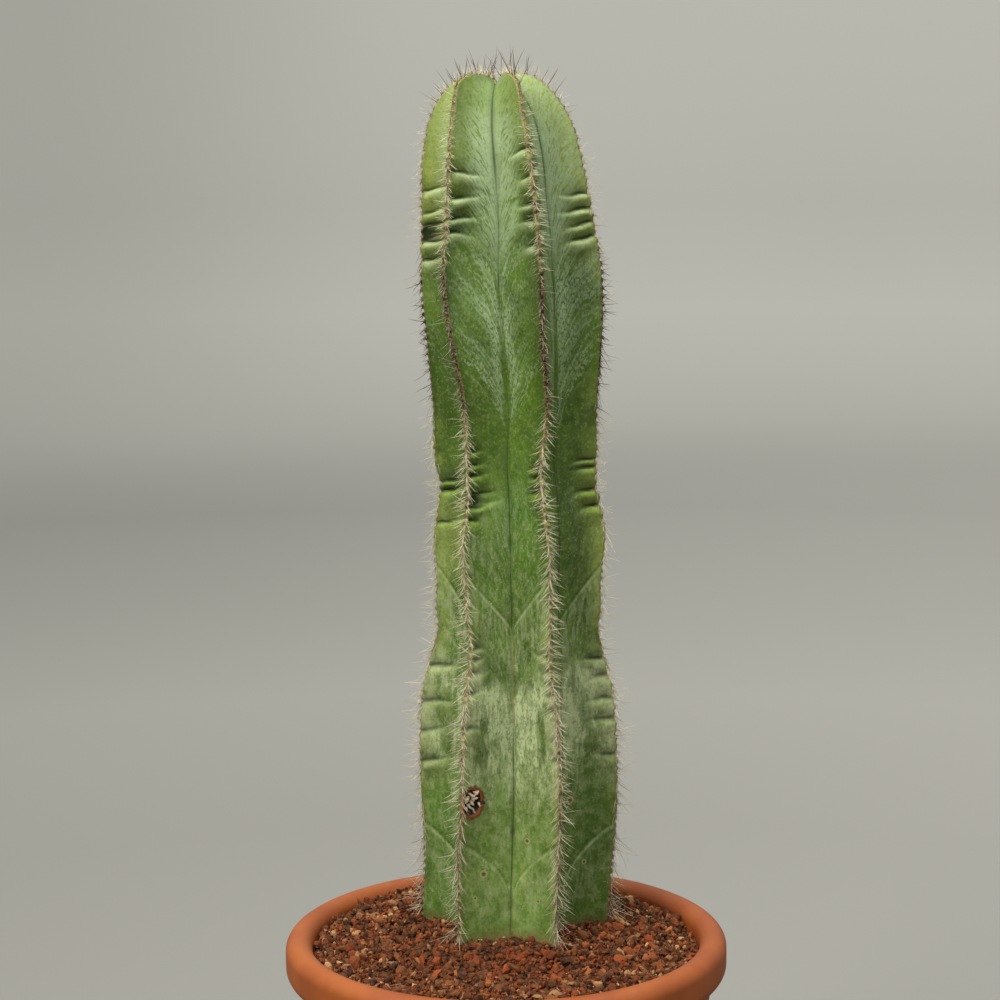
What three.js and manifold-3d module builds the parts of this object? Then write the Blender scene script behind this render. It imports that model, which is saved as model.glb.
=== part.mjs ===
// A columnar cactus with six spiny ribs, rooted in a clay pot of red lava grit.
// Millimetres, +Z up. The origin is the middle of the pot's underside and -Y is the front.
// Azimuths are degrees from the front, positive towards +X. Heights on the stem are above the rim.
import * as THREE from 'three';
import { mergeVertices } from 'three/addons/utils/BufferGeometryUtils.js';
import Module from 'manifold-3d';

const wasm = await Module();
wasm.setup();

// Driving dimensions of the pot
const POT_HEIGHT = 245;
const FOOT_RADIUS = 97;
const FOOT_CHAMFER = 2;
const WALL = 9;
const FLOOR = 12;
const RIM_RADIUS = 140;
const RIM_WIDTH = 17;
const RIM_HEIGHT = 27;
const POT_SIDES = 40;
const DRAIN = { count: 5, radius: 7, ring: 52, sides: 12 };

// Driving dimensions of the stem
const STEM = { x: 5.5, y: 28, buried: 48, crest: 3.2, grooveStart: 18, grooveShare: 0.26 };
const RIBS = [
  { name: 'left', azimuth: -96, sway: 3, phase: 0.4 },
  { name: 'front_left', azimuth: -36, keys: 'frontLeft' },
  { name: 'front_right', azimuth: 24, keys: 'frontRight' },
  { name: 'right', azimuth: 84, sway: 3, phase: 2.1 },
  { name: 'back_right', azimuth: 144, sway: 4, phase: 3.3 },
  { name: 'back_left', azimuth: 204, sway: 4, phase: 5.0 },
];
const SWAY_LENGTH = 85;
const CREST_DIP = 0.8;
const SWELL = 1.8;

// Key heights and values, with smooth curves between them
const GIRTH = [
  [-60, 57], [0, 59.6], [40, 60.2], [80, 62.4], [115, 62.8], [150, 60.8], [170, 56.2], [190, 51],
  [205, 52.3], [222, 51.8], [245, 53.9], [263, 52.8], [283, 49.7], [300, 51.3], [334, 51.5],
  [364, 54], [400, 56.3], [424, 55.7], [454, 53], [484, 49.6], [503, 45.8],
];
const LEAN = [
  [-60, 0], [0, 0.5], [50, 3.8], [150, 3.9], [222, 5.3], [270, 6.1], [300, 3.9], [360, 3.6],
  [410, 2.5], [454, -0.2], [484, -2.2], [538, -3.6],
];
const WANDER = {
  frontLeft: [
    [-60, -36], [0, -36], [50, -39.5], [80, -36], [160, -33.5], [230, -40], [270, -40],
    [310, -35.5], [340, -37.5], [380, -43.5], [418, -47.5], [450, -43.5], [490, -40], [538, -40],
  ],
  frontRight: [
    [-60, 25], [0, 25], [40, 23], [120, 23.5], [165, 21.5], [205, 21.5], [240, 20], [270, 17.2],
    [305, 18], [334, 22.5], [374, 18.8], [404, 18.1], [440, 19.8], [538, 20],
  ],
};
// Where each crown ring meets a crest and a groove: radius and height of both
const CROWN = [
  { crest: [42.2, 513], groove: [27.5, 508] },
  { crest: [36.5, 523], groove: [24, 516] },
  { crest: [28.6, 532], groove: [19.5, 523.5] },
  { crest: [20, 537.5], groove: [14, 529] },
  { crest: [12, 538], groove: [8.5, 531.5] },
  { crest: [5.5, 535], groove: [4, 531] },
];
const APEX_HEIGHT = 531;
// Stretches of the stem, each with its spacing of rings and the depth of its cross pleats
const STRETCHES = [
  { from: 6, to: 98, step: 15.5, pleat: 0 },
  { from: 98, to: 180, step: 7.5, pleat: 0.7 },
  { from: 180, to: 262, step: 16.4, pleat: 0 },
  { from: 262, to: 304, step: 7, pleat: 1 },
  { from: 304, to: 424, step: 17, pleat: 0 },
  { from: 424, to: 480, step: 7, pleat: 1 },
  { from: 480, to: 505, step: 12.5, pleat: 0 },
];
const SCAR = { rib: 'front_left', height: 86, share: 0.25, radius: 8, depth: 2.4 };

// Driving dimensions of the grit
const GRIT = { atWall: -10, atStem: -2, rings: 11, relief: 1.3, grains: 30, size: [3.4, 5.4] };
const GRIT_REACH = 62;

// Driving dimensions of the areoles and spines
const FELT_HEIGHT = 1.6;
const FELT_START = 6;
const SPINE = { gap: 18, radius: 0.5, radial: [7, 10], central: [10, 14], low: [15, 21] };
const LOW_HEIGHT = 120;
const YOUNG = { height: 505, length: [9, 14], count: 3 };
const RADIAL_ROOT = { aside: 0.3, height: 0.5 };
const CENTRAL_ROOT = { aside: 0.55, height: 0.4 };

const GAP = 0.3;

const COLOURS = {
  clay: 0xb8673a,
  grit: 0x6c3e26,
  skin: 0x6c8449,
  felt: 0x9c7d55,
};

/** A repeatable stream of numbers from 0 to 1. */
function seeded(seed) {
  let state = seed;
  return () => {
    state = (state * 1664525 + 1013904223) % 4294967296;
    return state / 4294967296;
  };
}

/** A random number between two limits. */
function between(random, [low, high]) {
  return low + (high - low) * random();
}

/** A smooth curve through [height, value] keys, level beyond both ends. */
function through(keys, height) {
  const last = keys.length - 1;
  if (height <= keys[0][0]) return keys[0][1];
  if (height >= keys[last][0]) return keys[last][1];
  const i = keys.findIndex((key) => key[0] > height) - 1;
  const slope = (a, b) => (keys[b][1] - keys[a][1]) / (keys[b][0] - keys[a][0]);
  const span = keys[i + 1][0] - keys[i][0];
  const t = (height - keys[i][0]) / span;
  const leaving = slope(Math.max(i - 1, 0), i + 1) * span;
  const arriving = slope(i, Math.min(i + 2, last)) * span;
  const rise = keys[i + 1][1] - keys[i][1];
  const bend = t * (1 - t);
  return keys[i][1] + rise * t * t * (3 - 2 * t) + bend * ((1 - t) * leaving - t * arriving);
}

/** The level direction that an azimuth points in. */
function heading(azimuth) {
  const angle = THREE.MathUtils.degToRad(azimuth);
  return new THREE.Vector3(Math.sin(angle), -Math.cos(angle), 0);
}

/** The level direction across an azimuth, towards the next rib. */
function across(azimuth) {
  return heading(azimuth + 90);
}

/** A closed solid from any closed three.js geometry. */
function solidOf(geometry) {
  const bare = geometry.clone();
  bare.deleteAttribute('normal');
  bare.deleteAttribute('uv');
  const merged = mergeVertices(bare, 1e-4);
  const faces = [];
  for (let i = 0; i < merged.index.count; i += 3) {
    const [a, b, c] = [0, 1, 2].map((k) => merged.index.getX(i + k));
    if (a !== b && b !== c && c !== a) faces.push(a, b, c);
  }
  return new wasm.Manifold(new wasm.Mesh({
    numProp: 3,
    vertProperties: new Float32Array(merged.attributes.position.array),
    triVerts: new Uint32Array(faces),
  }));
}

/** A three.js geometry from a solid. */
function geometryOf(solid) {
  const mesh = solid.getMesh();
  const geometry = new THREE.BufferGeometry();
  geometry.setAttribute('position', new THREE.BufferAttribute(mesh.vertProperties, 3));
  geometry.setIndex(new THREE.BufferAttribute(mesh.triVerts, 1));
  geometry.computeVertexNormals();
  return geometry;
}

/** A turned body about +Z from a profile of [radius, height] points. */
function turned(profile, sides) {
  const points = profile.map(([radius, height]) => new THREE.Vector2(radius, height));
  return new THREE.LatheGeometry(points, sides).rotateX(Math.PI / 2);
}

/**
 * A closed skin: a turned body whose vertices are moved to place(column, row).
 * The first and last rows each close on one point, so place gives that point for every column.
 */
function skinned(columns, rows, place) {
  const profile = Array.from({ length: rows }, (_, row) => {
    return new THREE.Vector2(row === 0 || row === rows - 1 ? 0 : 1, row);
  });
  const geometry = new THREE.LatheGeometry(profile, columns);
  const position = geometry.attributes.position;
  for (let column = 0; column < columns; column += 1) {
    for (let row = 0; row < rows; row += 1) {
      const point = place(column, row);
      position.setXYZ(column * rows + row, point.x, point.y, point.z);
      if (column === 0) position.setXYZ(columns * rows + row, point.x, point.y, point.z);
    }
  }
  return geometry;
}

/** A named mesh with its own matte material. */
function piece(name, geometry, colour, roughness) {
  const material = new THREE.MeshStandardMaterial({
    color: colour, roughness, metalness: 0, flatShading: true,
  });
  const mesh = new THREE.Mesh(geometry, material);
  mesh.name = name;
  return mesh;
}

/** Points of an arc in the rim's section, from one angle to another. */
function arc([radius, height], size, from, to, steps) {
  return Array.from({ length: steps + 1 }, (_, i) => {
    const angle = THREE.MathUtils.degToRad(from + ((to - from) * i) / steps);
    return [radius + size * Math.cos(angle), height + size * Math.sin(angle)];
  });
}

const RIM_ROUND = RIM_WIDTH / 2;
const INNER_RADIUS = RIM_RADIUS - RIM_WIDTH;
const INNER_FLOOR_RADIUS = FOOT_RADIUS - WALL + 1.5;

/** The pot: a tapered clay body with a thick rounded rim and drain holes in its floor. */
function pot() {
  const middle = RIM_RADIUS - RIM_ROUND;
  const low = POT_HEIGHT - RIM_HEIGHT + RIM_ROUND;
  const profile = [
    [0, 0],
    [FOOT_RADIUS - FOOT_CHAMFER, 0],
    [FOOT_RADIUS, FOOT_CHAMFER],
    ...arc([middle, low], RIM_ROUND, -90, 0, 3),
    ...arc([middle, POT_HEIGHT - RIM_ROUND], RIM_ROUND, 0, 180, 6),
    [INNER_RADIUS - 0.5, POT_HEIGHT - RIM_HEIGHT],
    [INNER_FLOOR_RADIUS, FLOOR],
    [0, FLOOR],
  ];
  let body = solidOf(turned(profile, POT_SIDES));
  for (let i = 0; i < DRAIN.count; i += 1) {
    const place = heading((360 / DRAIN.count) * i).multiplyScalar(DRAIN.ring);
    const drill = new THREE.CylinderGeometry(DRAIN.radius, DRAIN.radius, 4 * FLOOR, DRAIN.sides);
    drill.rotateX(Math.PI / 2).translate(place.x, place.y, 0);
    body = body.subtract(solidOf(drill));
  }
  return piece('pot', geometryOf(body), COLOURS.clay, 0.6);
}

/** One rib's azimuth at a height, following its slow wander. */
function ribAzimuth(rib, height) {
  if (rib.keys) return through(WANDER[rib.keys], height);
  return rib.azimuth + rib.sway * Math.sin(height / SWAY_LENGTH + rib.phase);
}

/** A level ring of the stem: where its crests and grooves are, and how deeply it is creased. */
function levelRing(height, pleat) {
  const girth = through(GIRTH, height) - CREST_DIP * pleat;
  const groove = STEM.grooveStart + STEM.grooveShare * girth;
  return { crest: [girth, height], groove: [groove, height], pleat };
}

/** The rings of the stem, from the soil to the crown. */
function stemRings() {
  const rings = [levelRing(-STEM.buried, 0)];
  for (const { from, to, step, pleat } of STRETCHES) {
    const count = Math.round((to - from) / step);
    for (let i = 0; i < count; i += 1) {
      rings.push(levelRing(from + ((to - from) * i) / count, pleat * (i % 2)));
    }
  }
  return [...rings, ...CROWN.map((ring) => ({ ...ring, pleat: 0 }))];
}

const RINGS = stemRings();
const FIRST_RING = RINGS[1];

/** A point of the stem from a radius, a height and an azimuth about the leaning axis. */
function onStem([radius, height], azimuth) {
  const point = heading(azimuth).multiplyScalar(radius);
  point.x += STEM.x + through(LEAN, height);
  point.y += STEM.y;
  point.z = POT_HEIGHT + height;
  return point;
}

/** Half the width of a crest's flat, which narrows towards the apex. */
function crestHalf(ring) {
  return (STEM.crest / 2) * Math.min(1, ring.crest[0] / 14);
}

/**
 * A point on the flank from a crest's edge to the groove beside it.
 * The share runs from 0 at the crest to 1 in the groove, and the bulge swells the flank.
 */
function onFlank(ring, ribIndex, side, share, bulge) {
  const own = ribAzimuth(RIBS[ribIndex], ring.crest[1]);
  const count = RIBS.length;
  const nextIndex = (ribIndex + side + count) % count;
  let next = ribAzimuth(RIBS[nextIndex], ring.crest[1]);
  if (side * (next - own) < 0) next += side * 360;
  const crest = onStem(ring.crest, own).addScaledVector(across(own), side * crestHalf(ring));
  const groove = onStem(ring.groove, (own + next) / 2);
  const run = groove.clone().sub(crest);
  const swell = new THREE.Vector3(-run.y, run.x, 0).normalize().multiplyScalar(side);
  const reach = Math.min(1, ring.crest[0] / 40);
  return crest.addScaledVector(run, share).addScaledVector(swell, bulge * reach);
}

/** The section's seven points for one rib, in turn around the stem. */
const SECTION = [
  { side: -1, share: 0.56, bulge: 1.6, crease: 1 },
  { side: -1, share: 0.17, bulge: SWELL, crease: 3.4 },
  { side: -1, share: 0, bulge: 0, crease: 0 },
  { side: 1, share: 0, bulge: 0, crease: 0 },
  { side: 1, share: 0.17, bulge: SWELL, crease: 3.4 },
  { side: 1, share: 0.56, bulge: 1.6, crease: 1 },
  { side: 1, share: 1, bulge: 0, crease: 0 },
];

/** The outline of one ring of the stem. */
function outline(ring) {
  return RIBS.flatMap((_, index) => SECTION.map(({ side, share, bulge, crease }) => {
    return onFlank(ring, index, side, share, bulge - crease * ring.pleat);
  }));
}

/** A straight prism between two heights over an outline, widened by a margin. */
function prism(points, margin, from, to) {
  const shape = new THREE.Shape();
  points.forEach((point, i) => {
    const before = points[(i + points.length - 1) % points.length];
    const after = points[(i + 1) % points.length];
    const along = (a, b) => new THREE.Vector2(b.x - a.x, b.y - a.y).normalize();
    const [u, v] = [along(before, point), along(point, after)];
    const normal = new THREE.Vector2(u.y + v.y, -u.x - v.x).normalize();
    const miter = margin / Math.max(0.5, normal.x * v.y - normal.y * v.x);
    const corner = new THREE.Vector2(point.x, point.y).addScaledVector(normal, miter);
    if (i === 0) shape.moveTo(corner.x, corner.y);
    else shape.lineTo(corner.x, corner.y);
  });
  const block = new THREE.ExtrudeGeometry(shape, { depth: to - from, bevelEnabled: false });
  return solidOf(block.translate(0, 0, from));
}

/** The stem: one ribbed column, straight where it is buried, with a scar on one flank. */
function stem() {
  const base = outline(FIRST_RING);
  const outlines = RINGS.map((ring, i) => {
    if (i > 0) return outline(ring);
    return base.map((point) => point.clone().setZ(POT_HEIGHT - STEM.buried));
  });
  const foot = onStem([0, -STEM.buried], 0);
  const apex = onStem([0, APEX_HEIGHT], 0);
  const rows = outlines.length + 2;
  const body = solidOf(skinned(base.length, rows, (column, row) => {
    if (row === 0) return foot;
    if (row === rows - 1) return apex;
    return outlines[row - 1][column];
  }));
  const index = RIBS.findIndex((rib) => rib.name === SCAR.rib);
  const ring = levelRing(SCAR.height, 0);
  const centre = onFlank(ring, index, 1, SCAR.share, SWELL + SCAR.radius - SCAR.depth);
  const pit = new THREE.IcosahedronGeometry(SCAR.radius, 1).translate(centre.x, centre.y, centre.z);
  return piece('stem', geometryOf(body.subtract(solidOf(pit))), COLOURS.skin, 0.55);
}

/** The level of the grit, mounded up towards the stem. */
function gritLevel(x, y) {
  const fromStem = Math.hypot(x - STEM.x, y - STEM.y) - through(GIRTH, 0);
  const slope = THREE.MathUtils.smoothstep(fromStem, 0, GRIT_REACH);
  return POT_HEIGHT + GRIT.atStem + (GRIT.atWall - GRIT.atStem) * slope;
}

/** One rough grain of lava, half sunk in the grit. */
function grain(random) {
  const reach = INNER_RADIUS - 9;
  const place = heading(360 * random()).multiplyScalar(reach * Math.sqrt(random()));
  const size = between(random, GRIT.size);
  const shape = new THREE.IcosahedronGeometry(size, 0);
  shape.rotateX(6 * random()).rotateY(6 * random());
  shape.scale(1, 0.6 + 0.5 * random(), 0.7);
  shape.rotateZ(6 * random());
  return solidOf(shape.translate(place.x, place.y, gritLevel(place.x, place.y) + 0.2 * size));
}

/** The grit: a fill with a rough top and loose grains, with a plain hole for the stem. */
function substrate() {
  const random = seeded(7);
  const wallRadius = INNER_RADIUS - GAP;
  const wallLevel = POT_HEIGHT + GRIT.atWall;
  const sides = [
    [INNER_FLOOR_RADIUS - 1.5 * GAP, FLOOR + GAP],
    [INNER_RADIUS - 0.5 - GAP, POT_HEIGHT - RIM_HEIGHT],
    [wallRadius, wallLevel],
  ];
  const rows = sides.length + GRIT.rings + 1;
  const fill = solidOf(skinned(POT_SIDES, rows, (column, row) => {
    const turn = (360 / POT_SIDES) * column;
    if (row === 0) return new THREE.Vector3(0, 0, FLOOR + GAP);
    if (row === rows - 1) return new THREE.Vector3(0, 0, gritLevel(0, 0));
    if (row <= sides.length) {
      const [radius, height] = sides[row - 1];
      return heading(turn).multiplyScalar(radius).setZ(height);
    }
    const share = 1 - (row - sides.length) / GRIT.rings;
    const stray = 2 * GRIT.relief * (random() - 0.5);
    const point = heading(turn).multiplyScalar(wallRadius * share + stray * share);
    return point.setZ(gritLevel(point.x, point.y) + 2 * GRIT.relief * (random() - 0.5));
  }));
  const grains = Array.from({ length: GRIT.grains }, () => grain(random));
  const hole = prism(outline(FIRST_RING), GAP, POT_HEIGHT - STEM.buried - GAP, POT_HEIGHT + 20);
  const heap = wasm.Manifold.union([fill, ...grains]).subtract(hole);
  return piece('substrate', geometryOf(heap), COLOURS.grit, 0.95);
}

/** The crest line of one rib above the soil, with its directions at each ring. */
function crestLine(rib) {
  const rings = RINGS.filter(({ crest }) => crest[1] >= FELT_START && crest[0] >= 12);
  const points = rings.map(({ crest }) => onStem(crest, ribAzimuth(rib, crest[1])));
  return points.map((point, i) => {
    const before = points[Math.max(i - 1, 0)];
    const after = points[Math.min(i + 1, points.length - 1)];
    const up = after.clone().sub(before).normalize();
    const level = across(ribAzimuth(rib, rings[i].crest[1]));
    const out = level.clone().cross(up).normalize();
    return { point, up, side: level, out, half: crestHalf(rings[i]), radius: rings[i].crest[0] };
  });
}

/** A strip of felt along a crest, three-sided, just clear of the skin. */
function felt(line) {
  const corners = [[1, 0], [-1, 0], [0, FELT_HEIGHT]];
  const rows = line.length + 2;
  return solidOf(skinned(corners.length, rows, (column, row) => {
    const at = line[THREE.MathUtils.clamp(row - 1, 0, line.length - 1)];
    const spot = at.point.clone().addScaledVector(at.out, GAP);
    if (row === 0 || row === rows - 1) return spot.addScaledVector(at.out, FELT_HEIGHT / 3);
    const [sideways, height] = corners[column];
    return spot.addScaledVector(at.side, sideways * at.half).addScaledVector(at.out, height);
  }));
}

/** One three-sided spine with its root sunk in the felt. */
function spine(root, direction, length) {
  const cone = new THREE.ConeGeometry(SPINE.radius, length, 3, 1).translate(0, length / 2, 0);
  const turn = new THREE.Quaternion();
  turn.setFromUnitVectors(new THREE.Vector3(0, 1, 0), direction.clone().normalize());
  return solidOf(cone.applyQuaternion(turn).translate(root.x, root.y, root.z));
}

/** The place and directions at a distance along a crest line. */
function along(line, distance) {
  let left = distance;
  for (let i = 0; i + 1 < line.length; i += 1) {
    const step = line[i].point.distanceTo(line[i + 1].point);
    if (left <= step) {
      const share = left / step;
      const mix = (key) => line[i][key].clone().lerp(line[i + 1][key], share);
      return {
        point: mix('point'), up: mix('up'), side: mix('side'), out: mix('out'),
        radius: THREE.MathUtils.lerp(line[i].radius, line[i + 1].radius, share),
      };
    }
    left -= step;
  }
  return null;
}

/** The spines of one areole: a pair to the sides and one or more that stand out. */
function areoleSpines(at, random) {
  const height = at.point.z - POT_HEIGHT;
  const grow = (bed, sideways, upward, outward, lengths) => {
    const root = at.point.clone().addScaledVector(at.out, GAP + bed.height);
    root.addScaledVector(at.side, Math.sign(sideways) * bed.aside);
    const direction = at.out.clone().multiplyScalar(outward);
    direction.addScaledVector(at.side, sideways).addScaledVector(at.up, upward);
    return spine(root, direction, between(random, lengths));
  };
  if (height > YOUNG.height) {
    return Array.from({ length: YOUNG.count }, (_, i) => {
      return grow(CENTRAL_ROOT, 0.3 * (i - 0.8), 0.9 * random() - 0.65, 1, YOUNG.length);
    });
  }
  const droop = height < FELT_START + 25 ? 0.1 : -0.7;
  const lengths = height < LOW_HEIGHT && random() < 0.5 ? SPINE.low : SPINE.central;
  const lean = (random() < 0.5 ? -1 : 1) * between(random, [0.15, 0.4]);
  return [
    grow(RADIAL_ROOT, -0.9, random() - 0.5, 0.55, SPINE.radial),
    grow(RADIAL_ROOT, 0.9, random() - 0.5, 0.55, SPINE.radial),
    grow(CENTRAL_ROOT, lean, droop + 0.9 * random(), 1, lengths),
  ];
}

/** One rib's areoles: the felt with all its spines, as one body. */
function areoles(rib, index) {
  const random = seeded(31 + index);
  const line = crestLine(rib);
  const parts = [felt(line)];
  let distance = 1.5;
  for (let at = along(line, distance); at; at = along(line, distance)) {
    parts.push(...areoleSpines(at, random));
    const crowded = at.point.z - POT_HEIGHT > YOUNG.height ? 0.5 : 1;
    distance += SPINE.gap * crowded * (0.9 + 0.2 * random());
  }
  const body = wasm.Manifold.union(parts);
  return piece(`areoles_${rib.name}`, geometryOf(body), COLOURS.felt, 0.8);
}

const cactus = new THREE.Group();
cactus.name = 'potted_cactus';
cactus.add(pot());
cactus.add(substrate());
cactus.add(stem());
RIBS.forEach((rib, index) => cactus.add(areoles(rib, index)));

export default cactus;
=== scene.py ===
"""A six-ribbed columnar cactus in a round clay pot of red lava grit, dressed over its fixed frame.

Sizes are in millimetres unless a name says otherwise, and become metres where a mesh is made.
Heights on the stem are above the pot's rim. Azimuths are degrees from the front, which is -Y,
positive towards +X. The stem's form repeats the rules that its solid follows, at a finer grain.
"""

import logging
import math
from dataclasses import dataclass, field
from enum import Enum
from typing import Any, Optional, Sequence, Union

import bmesh
import bpy
import numpy as np
from mathutils import Matrix, Vector


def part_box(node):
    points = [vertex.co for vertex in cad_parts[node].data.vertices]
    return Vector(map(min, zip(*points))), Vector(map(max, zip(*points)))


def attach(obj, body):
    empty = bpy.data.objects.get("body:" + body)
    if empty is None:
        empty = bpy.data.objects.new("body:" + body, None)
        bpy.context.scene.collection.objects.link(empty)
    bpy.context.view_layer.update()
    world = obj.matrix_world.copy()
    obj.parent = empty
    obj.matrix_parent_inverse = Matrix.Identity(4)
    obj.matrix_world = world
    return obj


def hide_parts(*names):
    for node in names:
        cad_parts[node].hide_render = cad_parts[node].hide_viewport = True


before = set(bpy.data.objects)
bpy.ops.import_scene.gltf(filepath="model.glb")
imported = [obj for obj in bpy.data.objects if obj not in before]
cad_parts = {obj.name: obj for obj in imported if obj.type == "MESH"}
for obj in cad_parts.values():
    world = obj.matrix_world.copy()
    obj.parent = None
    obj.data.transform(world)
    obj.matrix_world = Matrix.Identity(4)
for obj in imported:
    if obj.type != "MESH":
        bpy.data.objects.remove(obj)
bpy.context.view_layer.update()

log = logging.getLogger("potted_cactus")

MM = 0.001
BODY = "root"

RIM_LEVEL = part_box("pot")[1].z / MM
RIM_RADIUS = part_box("pot")[1].x / MM

Colour = tuple[float, float, float]
Keys = Sequence[tuple[float, float]]


def srgb(red: int, green: int, blue: int) -> Colour:
    """Turns a display colour of 0 to 255 into the linear colour that shaders use."""
    shares = (channel / 255 for channel in (red, green, blue))
    return tuple(s / 12.92 if s < 0.04045 else ((s + 0.055) / 1.055) ** 2.4 for s in shares)


def through(keys: Keys, at: Union[float, np.ndarray]) -> np.ndarray:
    """Reads a smooth curve through [place, value] keys, level beyond both ends.

    Args:
        keys: The keys in rising order of place.
        at: One place or an array of places.

    Returns:
        The curve's values at those places.
    """
    table = np.asarray(keys, dtype=float)
    place, value = table[:, 0], table[:, 1]
    slope = np.gradient(value, place, edge_order=1)
    slope[1:-1] = (value[2:] - value[:-2]) / (place[2:] - place[:-2])
    at = np.asarray(at, dtype=float)
    i = np.clip(np.searchsorted(place, at, side="right") - 1, 0, len(place) - 2)
    span = place[i + 1] - place[i]
    t = np.clip((at - place[i]) / span, 0, 1)
    rise = (value[i + 1] - value[i]) * t * t * (3 - 2 * t)
    return value[i] + rise + t * (1 - t) * span * ((1 - t) * slope[i] - t * slope[i + 1])


def smooth_step(value: np.ndarray, low: float, high: float) -> np.ndarray:
    """Rises from 0 at low to 1 at high, level at both ends."""
    t = np.clip((value - low) / (high - low), 0, 1)
    return t * t * (3 - 2 * t)


def heading(azimuth: np.ndarray) -> np.ndarray:
    """Gives the level unit vectors that azimuths in degrees point along."""
    angle = np.radians(azimuth)
    return np.stack([np.sin(angle), -np.cos(angle), np.zeros_like(angle)], axis=-1)


def unit(vectors: np.ndarray) -> np.ndarray:
    """Scales vectors to length 1."""
    return vectors / np.maximum(np.linalg.norm(vectors, axis=-1, keepdims=True), 1e-9)


class Slot(Enum):
    """The record's material slots."""

    CLAY = "clay"
    GRIT = "lava_grit"
    SKIN = "skin"
    SPINES = "spines"


Number = Union[float, "Shade"]


class Shade:
    """One output of a material's nodes, which can be written into sums."""

    def __init__(self, recipe: "Recipe", socket: bpy.types.NodeSocket) -> None:
        """Keeps the recipe that the output belongs to, and the output."""
        self.recipe = recipe
        self.socket = socket

    def _math(self, operation: str, first: Number, second: Number) -> "Shade":
        """Adds one Math node on two values."""
        settings = {"operation": operation}
        return self.recipe.node("ShaderNodeMath", settings, {0: first, 1: second})

    def __add__(self, other: Number) -> "Shade":
        """Adds a value."""
        return self._math("ADD", self, other)

    def __radd__(self, other: Number) -> "Shade":
        """Adds this to a plain number."""
        return self._math("ADD", other, self)

    def __sub__(self, other: Number) -> "Shade":
        """Takes a value away."""
        return self._math("SUBTRACT", self, other)

    def __rsub__(self, other: Number) -> "Shade":
        """Takes this away from a plain number."""
        return self._math("SUBTRACT", other, self)

    def __mul__(self, other: Number) -> "Shade":
        """Multiplies by a value."""
        return self._math("MULTIPLY", self, other)

    def __rmul__(self, other: Number) -> "Shade":
        """Multiplies a plain number by this."""
        return self._math("MULTIPLY", other, self)

    def __pow__(self, other: Number) -> "Shade":
        """Raises to a power."""
        return self._math("POWER", self, other)

    def most(self, *others: Number) -> "Shade":
        """Takes the largest of this and the others.

        Args:
            *others: The other values.

        Returns:
            The largest at each point.
        """
        largest = self
        for other in others:
            largest = self._math("MAXIMUM", largest, other)
        return largest

    def smooth(self, low: Number, high: Number) -> "Shade":
        """Rises smoothly from 0 where this is low to 1 where it is high."""
        settings = {"interpolation_type": "SMOOTHSTEP"}
        return self.recipe.node("ShaderNodeMapRange", settings, {0: self, 1: low, 2: high})

    def fade(self, low: Number, high: Number) -> "Shade":
        """Falls smoothly from 1 where this is low to 0 where it is high."""
        return 1 - self.smooth(low, high)

    def peak(self, centre: float, reach: float) -> "Shade":
        """Rises to 1 where this is at centre and falls to 0 at reach to either side."""
        return self._math("ABSOLUTE", self - centre, 0.0).fade(0.0, reach)


Plug = Union[float, Colour, Shade]


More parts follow.
